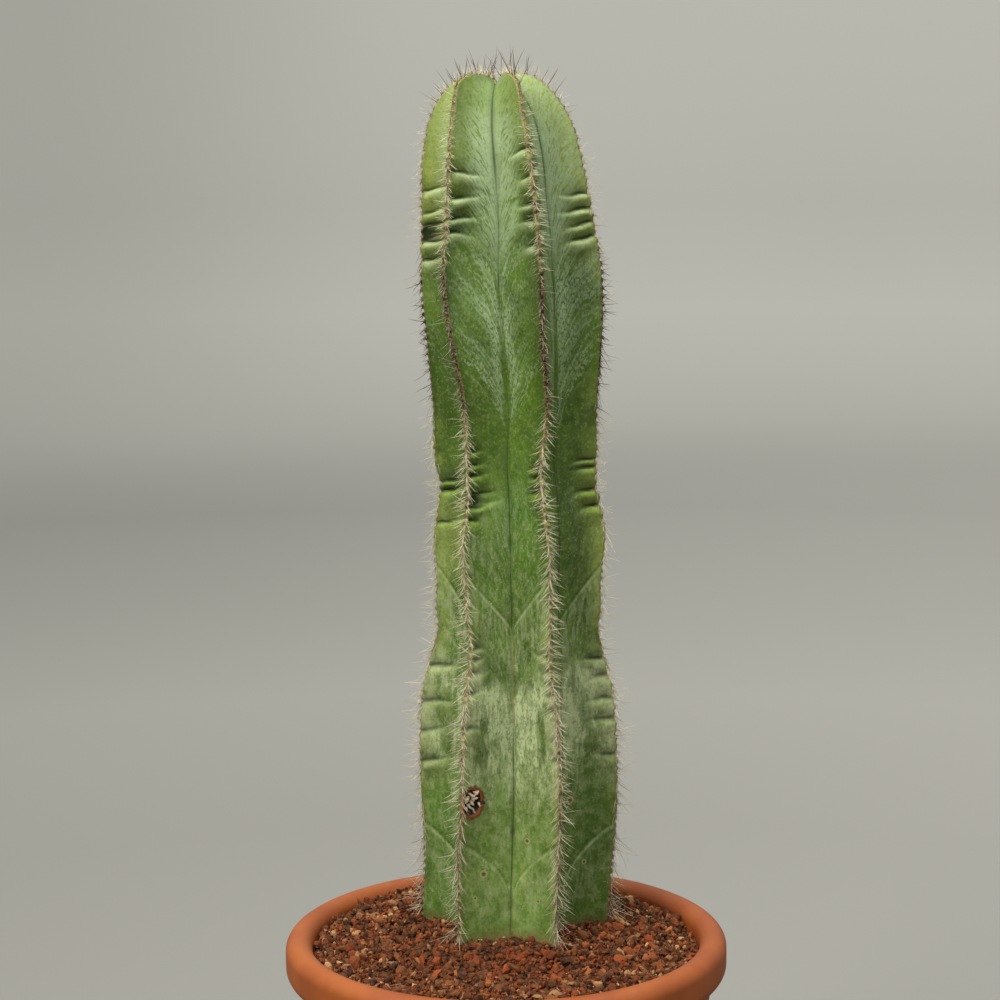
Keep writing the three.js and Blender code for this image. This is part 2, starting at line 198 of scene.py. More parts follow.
class Recipe:
    """The node tree of one material, or of the sky."""

    def __init__(self, name: str, sky: bool = False) -> None:
        """Starts an empty material or sky of that name."""
        self.owner = bpy.data.worlds.new(name) if sky else bpy.data.materials.new(name)
        self.owner.use_nodes = True
        self.tree = self.owner.node_tree
        self.tree.nodes.clear()

    def node(
        self,
        kind: str,
        settings: Optional[dict[str, Any]] = None,
        inputs: Optional[dict[Any, Plug]] = None,
        output: Union[int, str] = 0,
    ) -> Shade:
        """Adds one node.

        Args:
            kind: The node's type.
            settings: Its own settings, with a ramp's stops under "stops".
            inputs: Values or links for its sockets, by name or number.
            output: The output that the caller goes on with.

        Returns:
            That output.
        """
        made = self.tree.nodes.new(kind)
        for key, value in (settings or {}).items():
            if key == "stops":
                self._set_stops(made.color_ramp, value)
            else:
                setattr(made, key, value)
        for key, value in (inputs or {}).items():
            self._plug(made.inputs[key], value)
        return Shade(self, made.outputs[output])

    def _plug(self, socket: bpy.types.NodeSocket, value: Plug) -> None:
        """Links a shade to a socket, or sets a plain value on it.

        Args:
            socket: The socket.
            value: What goes into it.
        """
        if isinstance(value, Shade):
            self.tree.links.new(value.socket, socket)
        elif socket.type == "RGBA":
            socket.default_value = (*value, 1.0)
        else:
            socket.default_value = value

    @staticmethod
    def _set_stops(ramp: bpy.types.ColorRamp, stops: Sequence[tuple[float, Colour]]) -> None:
        """Fills a colour ramp from places and colours.

        Args:
            ramp: The ramp.
            stops: Its places and colours.
        """
        while len(ramp.elements) > 1:
            ramp.elements.remove(ramp.elements[-1])
        for i, (place, colour) in enumerate(stops):
            element = ramp.elements[0] if i == 0 else ramp.elements.new(place)
            element.position = place
            element.color = (*colour, 1.0)

    def trait(self, name: str) -> Shade:
        """Reads a number that the mesh holds at each point."""
        return self.node("ShaderNodeAttribute", {"attribute_name": name}, output="Fac")

    def place(self) -> Shade:
        """Reads the point's place on the piece, in metres."""
        return self.node("ShaderNodeTexCoord", output="Object")

    def vector(self, x: Number, y: Number, z: Number) -> Shade:
        """Joins three values into a vector."""
        return self.node("ShaderNodeCombineXYZ", None, {0: x, 1: y, 2: z})

    def part(self, of: Shade, name: str) -> Shade:
        """Takes the X, Y or Z of a vector."""
        return self.node("ShaderNodeSeparateXYZ", None, {0: of}, name)

    def noise(self, where: Shade, scale: float, detail: float = 3.0, rough: float = 0.55) -> Shade:
        """Adds soft noise from 0 to 1, of some cycles per unit and with finer octaves."""
        inputs = {"Vector": where, "Scale": scale, "Detail": detail, "Roughness": rough}
        return self.node("ShaderNodeTexNoise", None, inputs)

    def streaks(self, x: Number, y: Number, z: Number, detail: float = 3.0,
                rough: float = 0.55) -> Shade:
        """Adds soft noise over three coordinates, each stretched by a share of its own."""
        return self.noise(self.vector(x, y, z), 1.0, detail, rough)

    def cells(self, where: Shade, scale: float) -> Shade:
        """Adds a cell pattern: the distance to each cell's centre."""
        inputs = {"Vector": where, "Scale": scale}
        return self.node("ShaderNodeTexVoronoi", None, inputs, "Distance")

    def distance(self, where: Shade, to: Sequence[float]) -> Shade:
        """Measures the distance from a place to a fixed point."""
        settings = {"operation": "DISTANCE"}
        return self.node("ShaderNodeVectorMath", settings, {0: where, 1: tuple(to)}, "Value")

    def mix(self, share: Number, first: Plug, second: Plug) -> Shade:
        """Blends two colours, from the first at share 0 to the second at share 1."""
        inputs = {0: share, 6: first, 7: second}
        return self.node("ShaderNodeMix", {"data_type": "RGBA"}, inputs, 2)

    def layers(self, base: Plug, *coats: tuple[Number, Plug]) -> Plug:
        """Lays coats over a base colour, each with its share and its colour.

        Args:
            base: The base colour.
            *coats: The coats, the first one lowest.

        Returns:
            The colour with all of them.
        """
        for share, colour in coats:
            base = self.mix(share, base, colour)
        return base

    def ramp(self, value: Number, stops: Sequence[tuple[float, Colour]]) -> Shade:
        """Reads a colour from a ramp of places and colours."""
        return self.node("ShaderNodeValToRGB", {"stops": stops}, {0: value})

    def bump(self, height: Number, depth_mm: float, strength: float = 1.0) -> Shade:
        """Turns a height of 0 to 1 into a relief of that depth."""
        inputs = {"Strength": strength, "Distance": depth_mm * MM, "Height": height}
        return self.node("ShaderNodeBump", None, inputs)

    def finish(self, colour: Plug, roughness: Number, normal: Optional[Shade] = None,
               **fixed: Plug) -> bpy.types.Material:
        """Closes the recipe with its surface.

        Args:
            colour: The base colour.
            roughness: The roughness.
            normal: The relief, if there is one.
            **fixed: Other sockets of the surface.

        Returns:
            The finished material.
        """
        inputs = {"Base Color": colour, "Roughness": roughness}
        if normal is not None:
            inputs["Normal"] = normal
        inputs.update({key.replace("_", " "): value for key, value in fixed.items()})
        surface = self.node("ShaderNodeBsdfPrincipled", None, inputs)
        self.close("ShaderNodeOutputMaterial", surface)
        return self.owner

    def close(self, kind: str, surface: Shade) -> None:
        """Links a surface to an output of that kind."""
        out = self.tree.nodes.new(kind)
        self.tree.links.new(surface.socket, out.inputs["Surface"])


@dataclass(frozen=True)
class ClayFinish:
    """Fired terracotta with a satin face, fine specks and a little lime."""

    lit: Colour = srgb(162, 87, 33)
    deep: Colour = srgb(140, 68, 26)
    speck: Colour = srgb(118, 62, 38)
    lime: Colour = srgb(206, 158, 124)

    def material(self) -> bpy.types.Material:
        """Makes the clay's material."""
        recipe = Recipe("clay")
        where = recipe.place()
        cloud = recipe.noise(where, 14, 4, 0.6)
        fine = recipe.noise(where, 420, 3, 0.6)
        height = recipe.part(where, "Z")
        turning = recipe.noise(recipe.vector(0.0, 0.0, height), 900, 2, 0.5)
        specks = (recipe.cells(where, 480) * -1 + 0.26).smooth(0.0, 0.16)
        rare = recipe.noise(where, 260, 1).smooth(0.55, 0.68)
        bloom = recipe.noise(where, 34, 5, 0.68).smooth(0.56, 0.78)
        low = height.fade(0.01, 0.16)
        body = recipe.layers(
            self.deep,
            (cloud.smooth(0.3, 0.72), self.lit),
            (specks * rare * 0.5, self.speck),
            (bloom * (0.10 + 0.22 * low), self.lime),
        )
        relief = 0.55 * fine + 0.45 * turning
        roughness = 0.47 + 0.14 * recipe.noise(where, 60, 3) + 0.1 * bloom
        return recipe.finish(body, roughness, recipe.bump(relief, 0.12, 0.55),
                             Specular_IOR_Level=0.35)


@dataclass(frozen=True)
class GritFinish:
    """Porous lava grains, each with a tint of its own, with painted shade in their pores."""

    name: str
    tints: tuple[Colour, ...]
    dust: Colour = srgb(138, 82, 48)
    pit: Colour = srgb(42, 22, 16)

    def material(self) -> bpy.types.Material:
        """Makes the grains' material."""
        recipe = Recipe(self.name)
        where = recipe.place()
        steps = len(self.tints)
        stops = [(i / max(steps - 1, 1), tint) for i, tint in enumerate(self.tints)]
        patches = recipe.noise(where, 260, 4, 0.65)
        pores = recipe.cells(where, 950).smooth(0.04, 0.34)
        shade = recipe.layers(
            recipe.ramp(recipe.trait("tint"), stops),
            (patches.smooth(0.35, 0.7) * 0.45, self.dust),
            # Painted shade in the pores.
            ((1 - pores) * 0.62, self.pit),
        )
        relief = 0.6 * pores + 0.4 * recipe.noise(where, 700, 4, 0.7)
        return recipe.finish(shade, 0.93, recipe.bump(relief, 0.45, 0.8), Specular_IOR_Level=0.25)


@dataclass(frozen=True)
class Blemish:
    """A small rusty scab on one flank: its rib, side, share across, height and radius."""

    rib: str
    side: int
    share: float
    height: float
    radius: float


# The small rusty scabs on the seen flanks.
BLEMISHES = (
    Blemish("front_left", 1, 0.46, 41.0, 1.5),
    Blemish("front_right", -1, 0.70, 62.0, 1.2),
    Blemish("right", -1, 0.86, 82.0, 1.6),
    Blemish("front_left", 1, 0.30, 26.0, 0.9),
    Blemish("front_right", -1, 0.42, 24.0, 0.8),
    Blemish("right", -1, 0.55, 40.0, 1.0),
)

# How dark the line in the grooves is at heights above the rim.
GROOVE_DARK = (
    (0, 0.65), (122, 0.85), (134, 0.10), (192, 0.10), (200, 0.90), (316, 0.75), (330, 0.10),
    (384, 0.10), (392, 0.40), (405, 0.45), (411, 1.0), (417, 1.0), (423, 0.30), (432, 0.42),
    (455, 0.42), (478, 0.75), (540, 0.85),
)
GROOVE_TOP = 560


class Flank(Enum):
    """The seen flanks as the skin's panel trait tells them: the rib's number, and 0.35 sideways."""

    LEFT = 0.35
    FRONT_LEFT = 1.35
    FRONT_RIGHT = 1.65
    RIGHT = 2.65


@dataclass(frozen=True)
class SkinFinish:
    """Waxy cactus skin: greens, the pale bloom over them, the marks of growth and age, and painted
    shade and highlights on its folds.
    """

    deep: Colour = srgb(52, 76, 14)
    leaf: Colour = srgb(80, 110, 26)
    lime: Colour = srgb(146, 160, 74)
    fresh: Colour = srgb(92, 140, 46)
    bloom: Colour = srgb(158, 178, 136)
    grey: Colour = srgb(172, 184, 136)
    furrow: Colour = srgb(46, 62, 28)
    bark: Colour = srgb(150, 118, 78)
    shade: Colour = srgb(20, 30, 12)
    rust: Colour = srgb(104, 60, 38)
    halo: Colour = srgb(176, 164, 118)
    cork: Colour = srgb(176, 108, 58)
    char: Colour = srgb(30, 24, 18)
    fleck: Colour = srgb(212, 218, 190)
    # The lips' painted highlight: lime low down, pale and waxy high up.
    lip: Colour = srgb(150, 176, 66)
    waxy_lip_highlight: Colour = srgb(200, 214, 164)
    cushion: Colour = srgb(182, 190, 142)
    soil: Colour = srgb(118, 84, 58)

    def material(self, scabs: np.ndarray) -> bpy.types.Material:
        """Makes the skin's material.

        Args:
            scabs: The places and radii of the small rusty scabs, in metres.

        Returns:
            The material.
        """
        recipe = Recipe("cactus_skin")
        skin = SkinPaint(recipe, self)
        wax = Wax(skin).amount() * (1 - 0.7 * skin.lush)
        skin.lay_greens()
        skin.lay_wax(wax)
        skin.lay_growth()
        skin.lay_weather()
        skin.lay_grooves()
        skin.lay_scabs(scabs)
        skin.lay_scar_and_soil()
        relief = 0.45 * skin.fine + 0.3 * skin.speckle + 0.25 * wax
        roughness = 0.42 + 0.20 * wax + 0.10 * (1 - skin.cloud)
        return recipe.finish(skin.colour, roughness, recipe.bump(relief, 0.18, 0.6),
                             Specular_IOR_Level=0.22)


class SkinPaint:
    """The skin's colour as coats are laid on it, and what the mesh tells at each point."""

    def __init__(self, recipe: Recipe, tones: SkinFinish) -> None:
        """Reads the mesh's traits and adds the noises that several coats share.

        Args:
            recipe: The skin's recipe.
            tones: The skin's colours.
        """
        self.recipe = recipe
        self.tones = tones
        self.colour: Plug = tones.deep
        self.where = recipe.place()
        self.height = recipe.trait("height")
        self.groove = recipe.trait("from_groove")
        self.crest = recipe.trait("from_crest")
        self.panel = recipe.trait("panel")
        # fold is painted shade in the folds; lip is a painted highlight on the top of each roll,
        # just under its cleft.
        self.fold = recipe.trait("fold")
        self.lip = recipe.trait("lip")
        self.seam = recipe.trait("seam")
        self.scar = recipe.trait("scar")
        self.cloud = recipe.noise(self.where, 34, 4, 0.6)
        self.fine = recipe.noise(self.where, 900, 3, 0.65)
        self.speckle = recipe.noise(self.where, 260, 4, 0.7)
        self.left = self.around(Flank.LEFT, 0.25)
        self.front_left = self.around(Flank.FRONT_LEFT, 0.25)
        self.front_right = self.around(Flank.FRONT_RIGHT, 0.25)
        self.right = self.around(Flank.RIGHT, 0.25)
        self.front = self.panel.peak(1.5, 0.6)
        self.lush = self.front_left * self.height.peak(91, 17) * self.groove.peak(9, 8)

    def around(self, flank: Flank, reach: float) -> Shade:
        """Picks out one flank, and with a longer reach a part of the one beside it."""
        return self.panel.peak(flank.value, reach)

    def lay(self, *coats: tuple[Number, Plug]) -> None:
        """Lays on coats, each with its share and its colour."""
        self.colour = self.recipe.layers(self.colour, *coats)

    def lay_greens(self) -> None:
        """Lays on the greens, lighter at the crests, the crown and the sunlit swellings."""
        tones, recipe, height, crest = self.tones, self.recipe, self.height, self.crest
        worn = recipe.noise(self.where, 70, 3).smooth(0.40, 0.60)
        edge = crest.fade(0.5, 12) * (0.2 + 0.8 * worn) * (1 - 0.8 * height.peak(372, 68))
        edge = edge * (1 - 0.6 * self.front * height.smooth(200, 260))
        mottle = self.speckle.smooth(0.42, 0.62) * height.smooth(440, 520)
        left, right = self.around(Flank.LEFT, 0.3), self.around(Flank.RIGHT, 0.3)
        sunny = left.most(right * crest.peak(0, 36) ** 0.7)
        swelling = right * crest.peak(0, 20) * height.peak(268, 66) ** 0.5
        swelling = swelling.most(0.8 * left * height.peak(249, 42))
        foot = self.groove.peak(7, 9) * height.peak(36, 24) * self.panel.peak(1.5, 0.4)
        sunlit = self.front_left * height.peak(274, 46) * self.groove.peak(14, 18)
        self.lay(
            (self.cloud.smooth(0.32, 0.68), tones.leaf),
            (self.speckle.smooth(0.45, 0.7) * 0.22, tones.lime),
            (edge * 0.58, tones.lime),
            (height.smooth(425, 520) * 0.34, tones.lime),
            (mottle * 0.50, tones.leaf),
            (sunny * height.smooth(410, 450) * 0.70, tones.lime),
            (height.fade(60, 110) * 0.46, tones.fresh),
            (self.front * height.peak(270, 60) * 0.28, tones.fresh),
            (self.lush, tones.fresh),
            (swelling * 0.55, tones.lime),
            (sunlit.most(foot) * 0.50, recipe.mix(0.55, tones.fresh, tones.lime)),
        )

    def lay_wax(self, wax: Shade) -> None:
        """Lays on the bloom, and deep green where the skin is bare of it or in painted shade.

        Args:
            wax: How much bloom there is.
        """
        height, crest = self.height, self.crest
        # Painted shade beside the front right crest, where the flank turns away from the light.
        ridge_shade = self.front_right * crest.fade(2, 16) * height.smooth(215, 260)
        foot = height.fade(62, 105) * crest.fade(3, 16)
        # Deep green where the bloom is rubbed off, and painted shade: partly both on the middle of
        # the left flank, painted shade near the left flank's groove.
        bare_and_shaded = (ridge_shade * height.fade(450, 490)).most(
            0.95 * self.left * height.peak(345, 82),
            0.6 * self.front_left * crest.fade(2, 12) * height.peak(410, 40),
            0.7 * self.around(Flank.RIGHT, 0.5) * height.fade(70, 110),
            0.50 * foot * self.front,
            0.55 * self.left * height.fade(48, 80),
            0.60 * self.left * self.groove.fade(3, 12) * height.peak(185, 60),
        )
        bloom = self.recipe.mix(height.smooth(200, 330), self.tones.grey, self.tones.bloom)
        self.lay((wax * 0.82, bloom), (bare_and_shaded * 0.70, self.tones.deep))

    def lay_growth(self) -> None:
        """Lays on the painted highlight on the folds' lips, the growth seams and the cushions
        beside the crests.
        """
        tones, height, seam = self.tones, self.height, self.seam
        lip_highlight_tone = self.recipe.mix(height.smooth(380, 420), tones.lip, tones.waxy_lip_highlight)
        below = seam.fade(-10, -0.5) - seam.fade(-30, -10)
        under = seam.peak(-5, 5).most(below) * height.fade(246, 252)
        rubbed = self.recipe.streaks(seam * 0.12, self.groove * 0.35, self.panel, 4, 0.7)
        under = under * 0.42 * rubbed.smooth(0.40, 0.62) * (0.5 + 0.5 * height.smooth(60, 120))
        broken = 0.35 + 0.65 * rubbed.smooth(0.38, 0.56)
        swollen = self.crest.fade(4, 13) * height.peak(135, 62) * self.cloud.smooth(0.34, 0.6)
        self.lay(
            # Painted highlight on the folds' lips.
            (self.lip * 0.58, lip_highlight_tone),
            (under, tones.grey),
            (seam.peak(0.9, 1.2) * 0.50 * broken, tones.deep),
            (seam.peak(-1, 1.4) * 0.50 * broken, tones.grey),
            # Pale cushions: painted highlight on the lips, and pale swellings beside the crests low
            # down.
            (self.lip.most(swollen) * height.fade(190, 205) * 0.62, tones.cushion),
            (self.right * height.peak(152, 38) * 0.16, tones.cushion),
            (self.front * height.fade(80, 120) * 0.16, tones.lime),
        )

    def lay_weather(self) -> None:
        """Lays on flecks, fine grit, blotches of age, pale pads beside the crests and the painted
        shade in the folds.
        """
        tones, recipe, where, height = self.tones, self.recipe, self.where, self.height
        flecks = (0.20 - recipe.cells(where, 560)).smooth(0, 0.10)
        flecks = flecks * recipe.noise(where, 130, 2).smooth(0.50, 0.60)
        grit = recipe.noise(where, 620, 3, 0.6)
        blotch = recipe.noise(where, 150, 3, 0.6)
        aged = height.fade(150, 200)
        pads = (self.front_left * self.crest.fade(4, 14)).most(
            0.7 * self.front_right * self.crest.fade(3, 9))
        pads = pads * height.peak(168, 26) ** 0.5 * (0.55 + 0.45 * self.fine)
        self.lay(
            (flecks * height.fade(255, 330) * 0.55, tones.fleck),
            (grit.smooth(0.54, 0.64) * 0.26, tones.deep),
            (grit.fade(0.36, 0.46) * 0.16, tones.cushion),
            (blotch.smooth(0.50, 0.62) * (0.10 + 0.15 * aged), tones.deep),
            (blotch.fade(0.38, 0.50) * 0.14 * aged, tones.cushion),
            (pads * 0.55, tones.cushion),
            (self.fold * 0.95, tones.shade),
        )

    def lay_grooves(self) -> None:
        """Lays on painted shade beside the grooves, the dark line in them, its worn stretches and
        the crests' bark.
        """
        tones, height, groove = self.tones, self.height, self.groove
        thread = self.recipe.streaks(height * 0.05, 0.0, self.panel * 2)
        stops = [(at / GROOVE_TOP, (tone,) * 3) for at, tone in GROOVE_DARK]
        dark = self.recipe.ramp(height * (1 / GROOVE_TOP), stops)
        wide = 0.72 + 0.45 * height.smooth(450, 490)
        line = groove.fade(0.12, wide) * (0.45 + 0.55 * thread.smooth(0.34, 0.54))
        self.lay(
            # Painted shade: a soft darkening beside each groove.
            (groove.fade(0.4, 3.4) * (0.30 + 0.08 * height.smooth(460, 490)), tones.deep),
            (line * dark, tones.furrow),
            (line * height.peak(149, 20).most(0.65 * height.peak(178, 22)), tones.bark),
            (groove.fade(0.8, 2.6) * height.peak(67, 7) * 0.8, tones.furrow),
            (self.crest.fade(0, 0.8) * 0.35, tones.bark),
        )

    def lay_scabs(self, scabs: np.ndarray) -> None:
        """Lays on the small rusty scabs, each with a pale halo.

        Args:
            scabs: Their places and radii in metres.
        """
        for x, y, z, radius in scabs.tolist():
            away = self.recipe.distance(self.where, (x, y, z)) + 0.0010 * (self.fine - 0.5)
            self.lay(
                (away.peak(1.35 * radius, 0.6 * radius) * 0.7, self.tones.halo),
                (away.fade(0.6 * radius, radius) * 0.9, self.tones.rust),
            )

    def lay_scar_and_soil(self) -> None:
        """Lays on the corky scar's rims, and the soil that clings to the stem's foot."""
        rim = self.scar + 5 * (self.recipe.noise(self.where, 330, 4, 0.7) - 0.5)
        soil = (self.height + 6 * (self.cloud - 0.5)).fade(-1, 7)
        self.lay(
            (rim.fade(8.6, 10.6), self.tones.rust),
            (rim.fade(7, 9) * 0.8, self.tones.cork),
            (rim.fade(6.2, 8), self.tones.char),
            (soil * 0.45, self.tones.soil),
        )


class Wax:
    """The bloom, rubbed and rained into fans that rise and spread from the groove."""

    def __init__(self, skin: SkinPaint) -> None:
        """Draws the streaks, specks and grain that several parts of the bloom share.

        Args:
            skin: The skin that it lies on.
        """
        self.skin = skin
        streaks, height, groove, panel = skin.recipe.streaks, skin.height, skin.groove, skin.panel
        self.waver = streaks(height * 0.03, groove * 0.10, panel, 2) - 0.5
        self.vee = height - 1.6 * groove + 12 * self.waver
        self.line = height - 16 * (groove + 0.2) ** 0.5 + 0.7 * groove + 10 * self.waver
        self.fibre = self.along(0.38, 0.035, 3, 3, 0.65)
        self.speck = streaks(groove * 0.80, height * 0.42, panel * 9, 1, 0.5)
        self.grain = streaks(groove * 0.36, height * 0.10, panel * 5, 4, 0.66)
        self.veins = self.fibre.smooth(0.43, 0.58)
        self.specks = self.speck.smooth(0.56, 0.62)
        self.dots = self.speck.fade(0.36, 0.44)
        self.young = self.vee.smooth(404, 440)

    def along(self, across: float, up: float, seed: float, detail: float, rough: float) -> Shade:
        """Draws noise that runs along the fans, with its scales across and up them."""
        skin = self.skin
        where = self.line * across, skin.height * up, skin.panel * seed
        return skin.recipe.streaks(*where, detail, rough)

    def amount(self) -> Shade:
        """Gives how much bloom there is, from 0 to 1."""
        return self._top().most(self._middle(), self._low(), self._faint())

    def _top(self) -> Shade:
        """Draws the pale feathered top, with its dark dashes and converging lines.

        Returns:
            How much bloom it has.
        """
        skin, height, groove = self.skin, self.skin.height, self.skin.groove
        inner = (groove + 26 * (self.fibre - 0.5)).fade(9, 22)
        dashes = self.along(0.46, 0.17, 5, 1, 0.5).smooth(0.57, 0.62) * groove.smooth(2.5, 6)
        contour = self.along(0.10, 0.009, 3, 1, 0.5)
        sides = contour.peak(0.44, 0.013), contour.peak(0.56, 0.013)
        lines = contour.peak(0.5, 0.016).most(*sides) * groove.fade(13, 20)
        lines = lines * height.peak(448, 52) ** 0.5
        haze = (0.86 + 0.14 * self.veins) * inner.most(0.42 * height.smooth(470, 515))
        haze = haze * (1.1 - 0.66 * height.smooth(496, 526)) * (1 - 0.12 * self.specks)
        haze = haze.most(0.80 * (0.55 + 0.45 * self.veins) * skin.right)
        haze = haze * (0.62 + 0.38 * skin.panel.smooth(0.7, 0.9)) * (1 - 0.18 * skin.front_right)
        return self.young * haze * (1 - 0.80 * dashes) * (1 - 0.85 * lines)

    def _middle(self) -> Shade:
        """Draws the V of bloom below the top, with a pale border beside the groove.

        Returns:
            How much bloom it has.
        """
        height, groove = self.skin.height, self.skin.groove
        far = self.skin.front_right * groove.smooth(6, 12)
        wet = self.along(0.085, 0.014, 6, 3, 0.6).smooth(0.53, 0.57)
        broad = self.along(0.050, 0.012, 7, 3, 0.6)
        rubbed = (0.40 + 0.34 * broad.smooth(0.40, 0.60)) * (0.50 + 0.66 * self.veins)
        rubbed = rubbed * (1 - 0.80 * wet) * (1 - 0.84 * self.specks) * (1 - 0.45 * far)
        rubbed = (rubbed + 0.10 * self.dots) * (1.25 - 0.60 * groove.smooth(5, 22))
        rubbed = rubbed * (1 - 0.60 * self.skin.left)
        tip = self.vee.fade(322, 354)
        dotted = self.fibre.smooth(0.50, 0.56) * self.speck.fade(0.48, 0.54)
        dotted = dotted.most(0.6 * self.dots * self.veins)
        rubbed = rubbed * (1 - tip) + 0.66 * tip * dotted
        border = (groove + 10 * (broad - 0.5)).peak(4.4, 4.6) * height.peak(370, 50) ** 0.5
        border = border * 0.86 * (0.50 + 0.50 * self.veins) * (1 - 0.85 * self.specks)
        gutter = groove.fade(1.3, 2.8) * height.peak(355, 32) ** 0.5
        stretch = self.vee.smooth(312, 330) * (1 - self.young)
        return rubbed.most(border) * stretch * (1 - gutter)

    def _low(self) -> Shade:
        """Draws the grey, worn lower part, in blots and fine grain.

        Returns:
            How much bloom it has.
        """
        skin, height, groove = self.skin, self.skin.height, self.skin.groove
        old = (height - 0.6 * groove + 20 * self.waver).fade(146, 176)
        blots = skin.recipe.streaks(height * 0.034, groove * 0.075, skin.panel, 4, 0.6)
        blots = blots.smooth(0.38, 0.54)
        low = old * (0.52 + 0.60 * self.grain.smooth(0.44, 0.58)) * (0.24 + 0.84 * blots)
        low = low * (0.40 + 0.60 * height.smooth(50, 100)) * (1 - 0.50 * self.specks)
        low = low * (1 + 0.32 * height.peak(146, 34))
        low = low * (1 + 0.8 * skin.right * height.peak(150, 38))
        outer = skin.around(Flank.RIGHT, 0.5).most(skin.around(Flank.LEFT, 0.5))
        low = low * (1 - 0.55 * outer * height.fade(95, 125))
        return low * (1 - 0.5 * groove.smooth(10, 26) * height.fade(80, 120))

    def _faint(self) -> Shade:
        """Draws the thin bloom that is left on the green between the other parts.

        Returns:
            How much bloom it has.
        """
        skin, height = self.skin, self.skin.height
        faint = 0.12 * self.veins + 0.22 * self.grain.smooth(0.46, 0.60)
        faint = faint * (1 + 0.4 * skin.front_left * height.peak(248, 44))
        return faint * height.fade(262, 330) * (1 - 0.4 * skin.right)


@dataclass(frozen=True)
class FeltFinish:
    """Short matted wool of the areoles: pale tufts on a brown thread."""

    dark: Colour = srgb(80, 54, 30)
    tan: Colour = srgb(158, 124, 74)
    pale: Colour = srgb(222, 212, 172)
    umber: Colour = srgb(50, 26, 16)

    def material(self) -> bpy.types.Material:
        """Makes the felt's material."""
        recipe = Recipe("areole_felt")
        where = recipe.place()
        strands = recipe.noise(where, 1500, 4, 0.75)
        patches = recipe.noise(where, 240, 3, 0.6)
        tuft = recipe.trait("tuft")
        brown = recipe.trait("brown")
        beads = tuft.smooth(0.35, 0.9) * patches.smooth(0.28, 0.62)
        wool = recipe.layers(
            self.dark,
            (strands.smooth(0.35, 0.65), self.tan),
            (beads * 0.66, self.pale),
            (brown.fade(0.10, 0.26) * 0.62, self.pale),
            (brown.smooth(0.26, 0.8) * (0.88 - 0.35 * beads), self.umber),
        )
        return recipe.finish(wool, 0.95, recipe.bump(strands, 0.5, 0.9), Specular_IOR_Level=0.15)


@dataclass(frozen=True)
class SpineFinish:
    """Horny spines: cream or brown, darker at the tip, with a soft gloss."""

    cream: Colour = srgb(238, 230, 194)
    brown: Colour = srgb(62, 34, 20)
    tip: Colour = srgb(98, 66, 42)
    root: Colour = srgb(86, 56, 32)

    def material(self) -> bpy.types.Material:
        """Makes the spines' material."""
        recipe = Recipe("spine_horn")
        tint = recipe.trait("tint")
        along = recipe.trait("along")
        bands = recipe.noise(recipe.place(), 900, 2, 0.5)
        horn = recipe.layers(
            self.cream,
            (tint + 0.25 * (bands - 0.5), self.brown),
            (along.fade(0.04, 0.34) * 0.50, self.root),
            (along.smooth(0.72, 1.0) * 0.32, self.tip),
        )
        roughness = 0.42 + 0.15 * bands
        return recipe.finish(horn, roughness, Specular_IOR_Level=0.4)


@dataclass(frozen=True)
class CrustFinish:
    """Dead cork in the scar: pale shreds among blackened ones."""

    pale: Colour = srgb(206, 188, 158)
    black: Colour = srgb(30, 24, 20)

    def material(self) -> bpy.types.Material:
        """Makes the crust's material."""
        recipe = Recipe("scar_cork")
        where = recipe.place()
        grain = recipe.noise(where, 1100, 4, 0.7)
        tone = recipe.trait("tint") + 0.5 * (grain - 0.5)
        cork = recipe.mix(tone.smooth(0.35, 0.65), self.black, self.pale)
        return recipe.finish(cork, 0.9, recipe.bump(grain, 0.4, 0.8))


@dataclass(frozen=True)
class StudioFinish:
    """A plain pale matte backdrop and floor that glows with painted light: brighter far off and to
    the right, with a painted shadow band across the floor and painted shade on the left.
    """

    pale: Colour = srgb(112, 111, 105)
    cloudy: Colour = srgb(100, 98, 92)
    glow_side: Colour = (0.42, 0.41, 0.37)
    glow_dim: Colour = (0.10, 0.10, 0.09)

    def material(self) -> bpy.types.Material:
        """Makes the backdrop's material."""
        recipe = Recipe("studio_grey")
        where = recipe.place()
        cloud = recipe.noise(where, 0.8, 2, 0.5)
        shade = recipe.mix(cloud.smooth(0.2, 0.8) * 0.3, self.pale, self.cloudy)
        x = recipe.part(where, "X")
        y = recipe.part(where, "Y")
        away = recipe.distance(recipe.vector(x, y, 0.0), (0.0, 0.0, 0.0))
        stops = [(at / SWEEP_REACH, (tone, 0.99 * tone, 0.89 * tone)) for at, tone in SWEEP_GLOW]
        # Painted light: brighter towards the right on the nearer floor.
        side = (x + 0.4 * (cloud - 0.5)).smooth(-1.1, 1.1) * away.fade(3.0, 4.4)
        # Painted shade: darker towards the left.
        dim = (x + 0.2).fade(-1.1, 0.2)
        glow = recipe.layers(
            recipe.ramp(away * (1 / SWEEP_REACH), stops),
            (side * 0.30, self.glow_side),
            (dim * 0.42, self.glow_dim),
        )
        lit = {"Specular_IOR_Level": 0.1, "Emission_Color": glow, "Emission_Strength": 1.0}
        return recipe.finish(shade, 0.95, **lit)

    def sky(self) -> bpy.types.World:
        """Makes the soft light all round: bright overhead, dim at the sides, dark below."""
        recipe = Recipe("soft_sky", sky=True)
        way = recipe.node("ShaderNodeTexCoord", output="Generated")
        tones = recipe.ramp(recipe.part(way, "Z") * 0.5 + 0.5, SKY_TONES)
        surface = recipe.node("ShaderNodeBackground", None, {"Color": tones, "Strength": 1.0})
        recipe.close("ShaderNodeOutputWorld", surface)
        return recipe.owner


